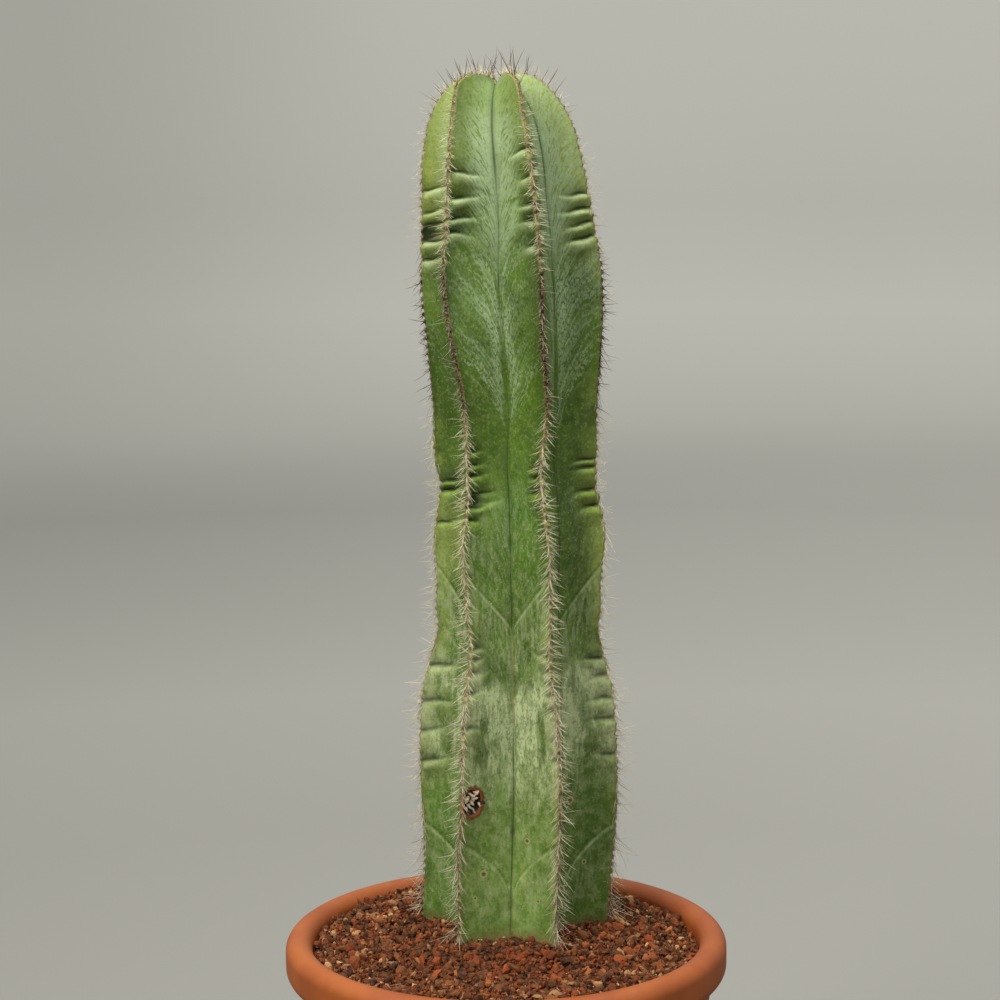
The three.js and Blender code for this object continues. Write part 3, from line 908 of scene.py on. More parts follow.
# How far the backdrop's painted glow is told in metres from the middle, and how strong it is on the
# way; the dip near 3.2 m is a painted shadow band across the floor.
SWEEP_REACH = 6
SWEEP_GLOW = (
    (0.0, 0.13), (1.1, 0.13), (1.7, 0.19), (2.3, 0.16), (3.2, 0.13), (3.7, 0.18), (4.5, 0.28),
    (5.0, 0.345), (5.33, 0.32), (5.7, 0.38),
)
# The sky's light from straight below to straight above.
SKY_TONES = (
    (0.0, (0.10, 0.10, 0.09)),
    (0.42, (0.20, 0.20, 0.19)),
    (0.60, (0.42, 0.42, 0.41)),
    (1.0, (1.00, 1.00, 0.98)),
)


def grid_faces(rows: int, columns: int, closed: bool) -> np.ndarray:
    """Joins a grid of points with four-sided faces.

    Args:
        rows: Rows of points.
        columns: Points in each row.
        closed: Whether the last column joins the first.

    Returns:
        The faces, wound to face out where columns turn with the azimuth and rows rise.
    """
    reach = columns if closed else columns - 1
    row, column = np.meshgrid(np.arange(rows - 1), np.arange(reach), indexing="ij")
    beside = (column + 1) % columns
    corners = [row * columns + column, row * columns + beside]
    corners += [(row + 1) * columns + beside, (row + 1) * columns + column]
    return np.stack(corners, axis=-1).reshape(-1, 4)


def fan_faces(first: int, columns: int, tip: int, up: bool) -> np.ndarray:
    """Closes a ring of points onto one point.

    Args:
        first: The number of the ring's first point.
        columns: Points in the ring.
        tip: The number of the point that closes it.
        up: Whether the cap is the upper one.

    Returns:
        The three-sided faces.
    """
    here = first + np.arange(columns)
    beside = first + (np.arange(columns) + 1) % columns
    ends = np.full(columns, tip)
    order = [here, beside, ends] if up else [beside, here, ends]
    return np.stack(order, axis=-1)


def ring(radius: float, level: float, sides: int) -> np.ndarray:
    """Gives the points of a level ring round the middle."""
    return heading(np.arange(sides) * 360 / sides) * radius + np.array([0, 0, level])


def capped(
    rings: Sequence[np.ndarray], first: Sequence[float], last: Sequence[float]
) -> tuple[np.ndarray, list[np.ndarray]]:
    """Joins rings into one closed solid.

    Args:
        rings: The rings of points, in order from the middle of the underside.
        first: The point that closes the first ring.
        last: The point that closes the last ring.

    Returns:
        The points and the faces.
    """
    sides = len(rings[0])
    count = len(rings) * sides
    faces = [
        grid_faces(len(rings), sides, True),
        fan_faces(0, sides, count, False),
        fan_faces(count - sides, sides, count + 1, True),
    ]
    return np.concatenate([*rings, [first, last]]), faces


def make_piece(
    name: str,
    points: np.ndarray,
    faces: Sequence[np.ndarray],
    material: bpy.types.Material,
    slot: Slot,
    traits: Optional[dict[str, np.ndarray]] = None,
    smooth: bool = True,
) -> bpy.types.Object:
    """Makes one piece of the object from arrays.

    Args:
        name: The piece's name.
        points: Its points in millimetres.
        faces: Arrays of faces, each with one number of corners.
        material: Its material.
        slot: The record's slot for it; not used.
        traits: Numbers at each point that the material reads.
        smooth: Whether its faces are shaded smooth.

    Returns:
        The object, riding on the body.
    """
    mesh = bpy.data.meshes.new(name)
    mesh.vertices.add(len(points))
    mesh.vertices.foreach_set("co", (points * MM).astype(np.float32).ravel())
    corners = np.concatenate([part.ravel() for part in faces]).astype(np.int32)
    sizes = np.concatenate([np.full(len(part), part.shape[1]) for part in faces])
    starts = np.concatenate([[0], np.cumsum(sizes)[:-1]]).astype(np.int32)
    mesh.loops.add(len(corners))
    mesh.loops.foreach_set("vertex_index", corners)
    mesh.polygons.add(len(sizes))
    mesh.polygons.foreach_set("loop_start", starts)
    mesh.polygons.foreach_set("use_smooth", np.full(len(sizes), smooth))
    mesh.update(calc_edges=True)
    for key, values in (traits or {}).items():
        layer = mesh.attributes.new(key, "FLOAT", "POINT")
        layer.data.foreach_set("value", np.asarray(values, dtype=np.float32).ravel())
    mesh.materials.append(material)
    made = bpy.data.objects.new(name, mesh)
    bpy.context.scene.collection.objects.link(made)
    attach(made, BODY)
    log.info("%s: %d faces", name, len(mesh.polygons))
    return made


@dataclass(frozen=True)
class Rib:
    """One rib: its name, its mean azimuth, and how it wanders up the stem."""

    name: str
    azimuth: float
    sway: float = 0.0
    phase: float = 0.0
    keys: Keys = ()
    shoulder: float = 0.0

    def azimuth_at(self, height: np.ndarray) -> np.ndarray:
        """Gives the rib's azimuth at each height."""
        if self.keys:
            return through(self.keys, height)
        return self.azimuth + self.sway * np.sin(height / 85 + self.phase)


FRONT_LEFT_KEYS = (
    (-60, -36), (0, -36), (50, -39.5), (80, -36), (160, -33.5), (230, -40), (270, -40),
    (310, -35.5), (340, -37.5), (380, -43.5), (418, -47.5), (450, -43.5), (490, -41), (538, -43),
)
FRONT_RIGHT_KEYS = (
    (-60, 25), (0, 25), (40, 23), (120, 23.5), (165, 21.5), (205, 21.5), (240, 20), (270, 17.2),
    (305, 18), (334, 22.5), (374, 18.8), (404, 18.1), (440, 19.8), (538, 20),
)
# The stem's six ribs. The front ones wander as in the photograph, the others sway.
RIBS = (
    Rib("left", -96, 3, 0.4),
    Rib("front_left", -36, keys=FRONT_LEFT_KEYS, shoulder=8.5),
    Rib("front_right", 24, keys=FRONT_RIGHT_KEYS, shoulder=8.0),
    Rib("right", 84, 3, 2.1),
    Rib("back_right", 144, 4, 3.3),
    Rib("back_left", 204, 4, 5.0),
)
RIB_NAMES = [rib.name for rib in RIBS]


# A flank's usual width, the most that a fold takes up of the height, and beyond any mark.
FLANK_WIDTH = 33.0
FOLD_SPAN = 14.0
FAR = 99.0


@dataclass(frozen=True)
class Crease:
    """One cross fold in a flank, at a height where it leaves the crest."""

    height: float
    depth: float
    reach: float = 15.0
    tilt: float = 0.0
    crisp: float = 1.0
    hollow: bool = False


def creases(
    *heights: float,
    deep: Sequence[float] = (),
    hollow: Sequence[float] = (),
    tilt: float = -0.03,
    reach: tuple[float, float] = (9.5, 16.0),
    seed: int = 1,
) -> tuple[Crease, ...]:
    """Makes a flank's creases from their heights.

    Args:
        *heights: Where each crease leaves the crest.
        deep: The heights of those that are folded deepest.
        hollow: The heights of those with a sunken pit below them, darkened with painted shade, in
            place of a roll.
        tilt: How far each rises per millimetre away from the crest, on average.
        reach: How far they run from the crest, below and above the middle of the stem.
        seed: Seeds the small differences between them.

    Returns:
        The creases, from the highest down.
    """
    rng = np.random.default_rng(seed)
    made = []
    for height in sorted(heights, reverse=True):
        low = height < 200
        depth = (2.0 if low else 2.7) * rng.uniform(0.8, 1.15)
        run = reach[height > 400] * rng.uniform(0.85, 1.15)
        crisp = 0.42 if low else 1.0
        if height in deep:
            depth, run, crisp = (2.8 if low else 3.7), run + 1.5, max(crisp, 0.6)
        lean = tilt + rng.uniform(-0.05, 0.05)
        run = run + 4.5 * (height in hollow)
        made.append(Crease(height, depth, run, lean, crisp, height in hollow))
    return tuple(made)


# The creases of the flanks that the photograph shows.
SEEN_CREASES = {
    ("left", 1): creases(
        467, 453, 445, 435, 424, 284, 278, 258, 166, 143, 124, 104,
        deep=(435, 445, 284, 166), hollow=(445,), tilt=0.16, reach=(17, 20), seed=11,
    ),
    ("front_left", 1): creases(
        480, 464.5, 452, 443.5, 309, 301, 294, 282.5, 274.5, 267, 186, 179, 171, 158.5, 137,
        deep=(464.5, 452, 294, 282.5, 274.5), hollow=(282.5,), seed=12,
    ),
    ("front_right", -1): creases(
        494, 478, 461, 452, 437, 300, 294, 285, 183, 173.5, 166, 159, 150, 130, 119,
        deep=(452, 461, 285), tilt=-0.26, reach=(8, 12), seed=13,
    ),
    ("right", -1): creases(
        465, 456, 447.5, 439, 300, 295, 281, 271, 173, 162, 147, 134, 110,
        deep=(439, 456, 281, 173), tilt=-0.12, reach=(14, 17), seed=14,
    ),
}


@dataclass
class StemForm:
    """The stem's surface as a rule: six ribs with waists, cross folds, growth seams and a scar."""

    x: float = 5.5
    y: float = 28.0
    buried: float = 48.0
    apex_level: float = 531.0
    crest_half: float = 1.6
    groove_start: float = 18.0
    groove_share: float = 0.26
    dish: float = 1.95
    girth: Keys = (
        (-60, 57), (0, 59.6), (40, 60.2), (80, 62.4), (115, 62.8), (150, 60.8), (170, 56.2),
        (190, 51), (205, 52.3), (222, 51.8), (245, 53.9), (263, 52.8), (283, 49.7), (300, 51.3),
        (334, 51.5), (364, 54), (400, 56.3), (424, 55.7), (454, 53), (484, 49.6), (503, 45.8),
        (513, 42.2), (523, 36.5), (533, 28.6), (543, 20), (551, 12), (558, 5.5), (563, 0.6),
    )
    crest_level: Keys = (
        (-60, -60), (503, 503), (513, 513), (523, 523), (533, 532), (543, 537.3), (551, 538.2),
        (558, 535.3), (563, 531.2),
    )
    crown_groove: Keys = (
        (492.5, 30.4), (503, 29.2), (513, 27.5), (523, 24), (533, 19.5), (543, 14), (551, 8.5),
        (558, 4), (563, 0.4),
    )
    groove_level: Keys = (
        (-60, -60), (492.5, 492.5), (513, 508), (523, 516), (533, 523.5), (543, 529),
        (551, 531.5), (558, 531.2), (563, 531),
    )
    lean: Keys = (
        (-60, 0), (0, 0.5), (50, 3.8), (150, 3.9), (222, 5.3), (270, 6.1), (300, 3.9), (360, 3.6),
        (410, 2.5), (454, -0.2), (484, -2.4), (538, -5.0),
    )
    groove_drift: Keys = ((-60, 0), (400, 0), (450, 2.6), (475, 2.2), (500, 1.0), (540, 1.0))
    seams: tuple[tuple[float, float, float], ...] = ((197.0, 39.0, 0.92), (16.0, 46.0, 0.45))
    scar_rib: str = "front_left"
    scar_height: float = 89.5
    scar_from_crest: float = 6.8
    areole_step: float = 5.2
    folds: dict[tuple[str, int], tuple[Crease, ...]] = field(default_factory=dict)

    def __post_init__(self) -> None:
        """Gives the flanks that the photograph doesn't show creases in the same stretches."""
        self.folds = dict(SEEN_CREASES)
        rng = np.random.default_rng(5)
        for rib in RIBS:
            for side in (-1, 1):
                if (rib.name, side) in self.folds:
                    continue
                heights = []
                for low, high, step in ((98, 184, 13), (262, 306, 9), (426, 492, 13)):
                    heights += list(np.arange(low, high, step) + rng.uniform(-3, 3))
                seed = int(rng.integers(1000))
                self.folds[rib.name, side] = creases(*heights, deep=heights[3::6], seed=seed)

    def axis(self, level: np.ndarray) -> np.ndarray:
        """Gives the stem's leaning axis at each height above the rim."""
        level = np.asarray(level, dtype=float)
        middle = self.x + through(self.lean, level)
        return np.stack([middle, np.full_like(level, self.y), RIM_LEVEL + level], axis=-1)

    def crest_radius(self, index: int, station: np.ndarray) -> np.ndarray:
        """Gives a crest's radius, blunter at the crown on some ribs."""
        blunt = RIBS[index].shoulder * np.exp(-(((station - 538) / 15) ** 2))
        return through(self.girth, station) + blunt * (1 - smooth_step(station, 546, 562))

    def crest_wave(self, index: int, station: np.ndarray) -> np.ndarray:
        """Gives a crest's scallops between areoles and its notches where creases meet it.

        Args:
            index: The rib.
            station: Places up the stem.

        Returns:
            How far the crest stands out of its mean line.
        """
        wave = 0.38 * np.cos(2 * np.pi * station / self.areole_step)
        for side in (-1, 1):
            for crease in self.folds[RIBS[index].name, side]:
                notch = np.exp(-(((station - crease.height) / 1.7) ** 2))
                wave = wave - 0.24 * crease.depth * notch
        return wave * (1 - smooth_step(station, 500, 520))

    def groove_radius(self, station: np.ndarray) -> np.ndarray:
        """Gives the grooves' radius."""
        body = self.groove_start + self.groove_share * through(self.girth, station)
        return np.where(station < 492.5, body, through(self.crown_groove, station))

    def neighbour(self, index: int, side: int, station: np.ndarray) -> np.ndarray:
        """Gives the azimuth of the next rib on one side, on the same turn as the rib's own."""
        own = RIBS[index].azimuth_at(station)
        beside = RIBS[(index + side) % len(RIBS)].azimuth_at(station)
        return np.where(side * (beside - own) < 0, beside + side * 360, beside)

    def crest(self, index: int, station: np.ndarray) -> np.ndarray:
        """Gives points along the middle of a rib's crest.

        Args:
            index: The rib.
            station: Places up the stem.

        Returns:
            The points.
        """
        own = RIBS[index].azimuth_at(station)
        level = through(self.crest_level, station)
        radius = self.crest_radius(index, station) + self.crest_wave(index, station)
        return self.axis(level) + radius[..., None] * heading(own)

    def flank(
        self, index: int, side: int, share: np.ndarray, station: np.ndarray
    ) -> tuple[np.ndarray, dict[str, np.ndarray]]:
        """Gives one flank of a rib.

        Args:
            index: The rib.
            side: -1 or 1, towards the rib before or after it.
            share: Places across the flank, from 0 at the crest's edge to 1 in the groove.
            station: Places up the stem.

        Returns:
            The points by station and share, and the numbers that the skin reads there.
        """
        own = RIBS[index].azimuth_at(station)
        groove_azimuth = (own + self.neighbour(index, side, station)) / 2
        if RIBS[index if side == 1 else (index - 1) % len(RIBS)].name == "front_left":
            groove_azimuth = groove_azimuth + through(self.groove_drift, station)
        radius = self.crest_radius(index, station)
        half = self.crest_half * np.minimum(1, radius / 14)
        wave = self.crest_wave(index, station)[:, None] * heading(own)
        edge = self.crest(index, station) - wave + side * half[:, None] * heading(own + 90)
        level = through(self.groove_level, station)
        groove = self.axis(level) + self.groove_radius(station)[:, None] * heading(groove_azimuth)
        run = groove - edge
        length = np.linalg.norm(run, axis=-1)
        out = unit(np.stack([run[:, 1], -run[:, 0], np.zeros(len(run))], axis=-1)) * side
        onset = 0.06 + 0.10 * smooth_step(station, 470, 520)[:, None]
        dish = self.dish * (1 - np.exp(-share[None, :] / onset)) * (1 - share[None, :] ** 2.8)
        dish = dish * np.minimum(1, (radius / 44) ** 2.2)[:, None]
        points = edge[:, None, :] + run[:, None, :] * share[None, :, None]
        height = points[..., 2] - RIM_LEVEL
        from_crest = share[None, :] * length[:, None]
        points = points + wave[:, None, :] * np.exp(-from_crest / 2.5)[..., None]
        from_groove = length[:, None] - from_crest

        # fold is painted shade for the skin's colour, and lip a painted highlight.
        lift, fold, lip = self._creased(index, side, height, from_crest)
        lift = np.maximum(lift, -0.45 - 0.26 * from_crest)
        seam = np.full_like(height, FAR)
        for base, rise, power in self.seams:
            path = base + rise * (np.maximum(from_groove, 0) / FLANK_WIDTH) ** power
            away = (height - path) * 0.65
            lift += 0.5 * np.exp(-(((away + 4) / 4) ** 2)) - 0.5 * np.exp(-((away / 1.1) ** 2))
            seam = np.where(np.abs(away) < np.abs(seam), away, seam)
        turn = np.radians(own)[:, None] + side * share[None, :] * 0.5
        lift += 0.45 * np.sin(height / 17 + 3 * turn + index) * np.sin(share * np.pi)[None, :]
        lift += 0.25 * np.sin(height / 6.3 + 1.7 * index + 9 * share[None, :] + side)
        scar = np.full_like(height, FAR)
        if RIBS[index].name == self.scar_rib and side == 1:
            across = from_crest - self.scar_from_crest
            scar = np.hypot(across * 1.05, (height - self.scar_height) * 0.85)
            lift -= 1.6 * (1 - smooth_step(scar, 3.0, 7.5))
            lift += 0.9 * np.exp(-(((scar - 8.6) / 1.9) ** 2))
        calm = smooth_step(height, -1, 10) * np.minimum(1, radius / 30)[:, None]
        points = points + out[:, None, :] * (lift * calm - dish)[..., None]
        traits = {
            "height": height, "from_crest": from_crest, "from_groove": from_groove,
            "panel": np.full_like(height, index + 0.35 * side), "fold": fold, "lip": lip,
            "seam": seam, "scar": scar,
        }
        return points, traits

    def _creased(
        self, index: int, side: int, height: np.ndarray, from_crest: np.ndarray
    ) -> tuple[np.ndarray, np.ndarray, np.ndarray]:
        """Folds a flank: below each crease the skin stands out in a roll with a sharp upper lip.

        Args:
            index: The rib.
            side: The flank's side.
            height: Each point's height.
            from_crest: Each point's distance from the crest.

        Returns:
            How far each point is pushed out, its painted shade in the folds, and its painted
            highlight on the lips.
        """
        lift = np.zeros_like(height)
        fold = np.zeros_like(height)
        lip = np.zeros_like(height)
        made = self.folds[RIBS[index].name, side]
        below = [*[crease.height for crease in made[1:]], -math.inf]
        above = [math.inf, *[crease.height for crease in made[:-1]]]
        start = 0.30 + 0.70 * smooth_step(from_crest, 0.2, 3.2)
        for crease, following, former in zip(made, below, above):
            span = min(crease.height - following, FOLD_SPAN)
            room = min(former - crease.height, FOLD_SPAN)
            fade = start * np.exp(-((from_crest / crease.reach) ** 3.4))
            fade = fade * (0.82 + 0.18 * np.sin(from_crest / 3.7 + 2.3 * crease.height))
            bend = 1.4 * math.sin(3.1 * crease.height) * (from_crest / crease.reach) ** 3
            bend = bend + 0.4 * np.sin(from_crest / 2.9 + 5 * crease.height) * start
            # How far along the crease its painted shade reaches.
            shade_fade = 0.75 + 0.25 * smooth_step(from_crest, 0.2, 2.0)
            shade_fade = shade_fade * np.exp(-((from_crest / (0.92 * crease.reach)) ** 3.4))
            under = crease.height + crease.tilt * from_crest + bend - height
            share = under / span
            roll = (1 - np.exp(-np.maximum(under, 0) / 0.9)) * (1 - smooth_step(share, 0.20, 1.0))
            over = np.exp(-((np.minimum(under, 0) / (0.35 * room)) ** 2)) * (under < 0)
            hollow = (1 - crease.crisp) * np.exp(-((under / 2.2) ** 2))
            valley = crease.crisp * np.exp(-np.abs(under) / 0.8) + hollow
            lift += crease.depth * fade * (0.85 * roll - 0.55 * valley - 0.30 * over)
            # Painted shade: the lower part of the roll above the cleft, which faces down, darkens
            # towards it.
            dusk = np.exp(-((np.maximum(-under, 0) / (0.42 * room)) ** 1.5)) * (under < 0)
            below_it = np.exp(-np.maximum(under, 0) / 0.35)
            # Painted shade in the cleft itself, nearly black in a thin line.
            cleft = np.where(under < 0, np.exp(-((under / 1.5) ** 2)), below_it)
            cleft = crease.crisp * np.minimum(1, 1.6 * cleft) + hollow
            strength = min(1.0, crease.depth / 3.2)
            dark = np.maximum(0.60 * strength * dusk, strength**0.4 * cleft) * shade_fade
            fold = np.maximum(fold, dark)
            if crease.hollow:
                pit = smooth_step(share, 0.0, 0.15) * (1 - smooth_step(share, 0.85, 1.0)) * fade
                lift -= 4.2 * pit
                # Painted shade that fills the pit.
                murk = smooth_step(share, 0.0, 0.1) * (1 - smooth_step(share, 0.85, 1.0))
                fold = np.maximum(fold, murk * np.exp(-((from_crest / (0.5 * crease.reach)) ** 4)))
            else:
                # Painted highlight on the lip, the roll's top just under the cleft.
                bright = smooth_step(under, 0.1, 0.8) * (1 - smooth_step(share, 0.10, 0.55))
                lip = np.maximum(lip, bright * fade * strength**0.5)
        return lift, fold, lip

    def stations(self) -> np.ndarray:
        """Gives the places up the stem, closest where the flanks are creased.

        Returns:
            The places.
        """
        stretches = (
            (-self.buried, -12, 9), (-12, 95, 1.6), (95, 190, 0.85), (190, 255, 1.6),
            (255, 312, 0.75), (312, 420, 1.7), (420, 500, 0.75), (500, 562.9, 1.5),
        )
        return np.concatenate([np.arange(low, high, step) for low, high, step in stretches])

    def outline(self, station: float) -> np.ndarray:
        """Gives the stem's level outline at one station.

        Args:
            station: The place up the stem.

        Returns:
            The outline's points.
        """
        share = np.linspace(0, 1, 12)
        at = np.array([station])
        rows = []
        for index in range(len(RIBS)):
            before, _ = self.flank(index, -1, share[::-1][1:], at)
            after, _ = self.flank(index, 1, share, at)
            rows += [before[0], after[0]]
        return np.concatenate(rows)[:, :2]


@dataclass
class CrestPath:
    """A rib's crest as a measured line, with its directions at each point."""

    length: np.ndarray
    points: np.ndarray
    up: np.ndarray
    side: np.ndarray
    out: np.ndarray

    @classmethod
    def of(cls, form: StemForm, index: int, top_radius: float) -> "CrestPath":
        """Measures a rib's crest from the soil up.

        Args:
            form: The stem's form.
            index: The rib.
            top_radius: How near to the apex it ends.

        Returns:
            The measured line.
        """
        station = np.arange(-1.0, 562.0, 0.5)
        station = station[through(form.girth, station) > top_radius]
        points = form.crest(index, station)
        steps = np.linalg.norm(np.diff(points, axis=0), axis=-1)
        length = np.concatenate([[0], np.cumsum(steps)])
        up = unit(np.gradient(points, axis=0))
        side = heading(RIBS[index].azimuth_at(station) + 90)
        out = unit(np.cross(side, up))
        return cls(length, points, up, side, out)

    def at(self, distance: np.ndarray) -> "CrestPath":
        """Reads the line at distances from its foot.

        Args:
            distance: The distances.

        Returns:
            The line at those distances.
        """
        def read(values: np.ndarray) -> np.ndarray:
            """Reads one set of vectors at those distances."""
            columns = [np.interp(distance, self.length, values[:, k]) for k in range(3)]
            return np.stack(columns, axis=-1)

        return CrestPath(
            distance, read(self.points), unit(read(self.up)), unit(read(self.side)),
            unit(read(self.out)),
        )


@dataclass
class Stem:
    """The stem's skin, and the dead cork in its scar."""

    form: StemForm
    finish: SkinFinish
    columns: int = 15

    def build(self) -> None:
        """Makes the skin and the scar's cork."""
        self._skin()
        self._cork()

    def _skin(self) -> None:
        """Makes the closed ribbed skin, from below the grit to the apex."""
        station = self.form.stations()
        share = (np.arange(self.columns + 1) / self.columns) ** 1.25
        blocks = []
        traits: dict[str, list[np.ndarray]] = {}
        for index in range(len(RIBS)):
            before, before_traits = self.form.flank(index, -1, share[::-1][1:], station)
            after, after_traits = self.form.flank(index, 1, share, station)
            middle = (before[:, -1:] + after[:, :1]) / 2
            outward = middle - self.form.axis(middle[..., 2] - RIM_LEVEL)
            middle = middle + 0.3 * unit(outward * np.array([1, 1, 0]))
            blocks += [before, middle, after]
            for key in before_traits:
                centre = after_traits[key][:, :1]
                traits.setdefault(key, []).extend([before_traits[key], centre, after_traits[key]])
        points = np.concatenate(blocks, axis=1)
        points, faces = capped(points, *self.form.axis([-self.form.buried, self.form.apex_level]))
        values = {}
        for key, parts in traits.items():
            body = np.concatenate(parts, axis=1)
            values[key] = np.concatenate([body.ravel(), [body[0].mean(), body[-1].mean()]])
        material = self.finish.material(self._scabs())
        skin = make_piece("stem_skin", points, faces, material, Slot.SKIN, values)
        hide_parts("stem")

    def _scabs(self) -> np.ndarray:
        """Gives the places and radii of the rusty scabs in metres.

        Returns:
            A row of x, y, z and radius for each scab.
        """
        made = []
        for mark in BLEMISHES:
            at = np.array([mark.height])
            share = np.array([mark.share])
            points, _ = self.form.flank(RIB_NAMES.index(mark.rib), mark.side, share, at)
            made.append([*points[0, 0], mark.radius])
        return np.array(made) * MM

    def _cork(self) -> None:
        """Makes the shreds of dead cork in the scar's pit."""
        form = self.form
        rng = np.random.default_rng(21)
        index = RIB_NAMES.index(form.scar_rib)
        count = 46
        turn = rng.uniform(0, 2 * np.pi, count)
        away = 6.2 * np.sqrt(rng.uniform(0, 1, count))
        centres = np.zeros((count, 3))
        outs = np.zeros((count, 3))
        for k in range(count):
            height = form.scar_height + away[k] * np.sin(turn[k]) * 1.15
            reach = form.scar_from_crest + away[k] * np.cos(turn[k])
            share = np.array([reach, reach + 0.5]) / FLANK_WIDTH
            patch, _ = form.flank(index, 1, share, np.array([height, height + 0.5]))
            outs[k] = unit(np.cross(patch[0, 1] - patch[0, 0], patch[1, 0] - patch[0, 0]))
            centres[k] = patch[0, 0] + outs[k] * rng.uniform(0.0, 1.2)
        tint = (rng.uniform(0, 1, count) < 0.50).astype(float)
        sizes = rng.uniform(1.0, 3.1, count)
        stretch = rng.uniform((0.8, 0.35, 0.3), (1.5, 0.7, 0.6), (count, 3))
        points, faces, tints = rocks(rng, centres, sizes, stretch, tint)
        make_piece("scar_cork", points, [faces], CrustFinish().material(), Slot.SKIN,
                   {"tint": tints}, smooth=False)


def ball(detail: int) -> tuple[np.ndarray, np.ndarray]:
    """Gives the points and faces of a ball of that many subdivisions.

    Args:
        detail: How often its faces are divided.

    Returns:
        The points and the faces.
    """
    shape = bmesh.new()
    bmesh.ops.create_icosphere(shape, subdivisions=detail, radius=1.0)
    points = np.array([vertex.co[:] for vertex in shape.verts])
    faces = np.array([[vertex.index for vertex in face.verts] for face in shape.faces])
    shape.free()
    return points, faces


def random_turns(rng: np.random.Generator, count: int) -> np.ndarray:
    """Gives random rotation matrices.

    Args:
        rng: The random numbers.
        count: How many turns there are.

    Returns:
        The matrices.
    """
    q = unit(rng.normal(size=(count, 4)))
    w, x, y, z = q.T
    rows = [
        1 - 2 * (y * y + z * z), 2 * (x * y - z * w), 2 * (x * z + y * w),
        2 * (x * y + z * w), 1 - 2 * (x * x + z * z), 2 * (y * z - x * w),
        2 * (x * z - y * w), 2 * (y * z + x * w), 1 - 2 * (x * x + y * y),
    ]
    return np.stack(rows, axis=-1).reshape(count, 3, 3)


def rocks(
    rng: np.random.Generator,
    centres: np.ndarray,
    sizes: np.ndarray,
    stretch: np.ndarray,
    tint: np.ndarray,
    detail: int = 2,
) -> tuple[np.ndarray, np.ndarray, np.ndarray]:
    """Makes angular stones, each a ball cut by random planes.

    Args:
        rng: The random numbers.
        centres: Where the stones are.
        sizes: Their radii.
        stretch: Their proportions along three axes.
        tint: A number for each stone.
        detail: The subdivisions of the ball that is cut.

    Returns:
        The points, the faces and each point's tint.
    """
    sphere, sphere_faces = ball(detail)
    count = len(centres)
    normals = unit(rng.normal(size=(count, 7, 3)))
    offsets = rng.uniform(0.34, 0.86, (count, 7))
    facing = np.einsum("nkc,vc->nkv", normals, sphere)
    cut = np.where(facing > 0.15, offsets[..., None] / np.maximum(facing, 0.15), 9.0)
    radius = np.minimum(cut.min(axis=1), 1.12)
    shaped = sphere[None] * radius[..., None] * stretch[:, None, :]
    shaped = np.einsum("nij,nvj->nvi", random_turns(rng, count), shaped)
    points = centres[:, None, :] + shaped * sizes[:, None, None]
    shift = np.arange(count)[:, None, None] * len(sphere)
    faces = (sphere_faces[None] + shift).reshape(-1, 3)
    return points.reshape(-1, 3), faces, np.repeat(tint, len(sphere))


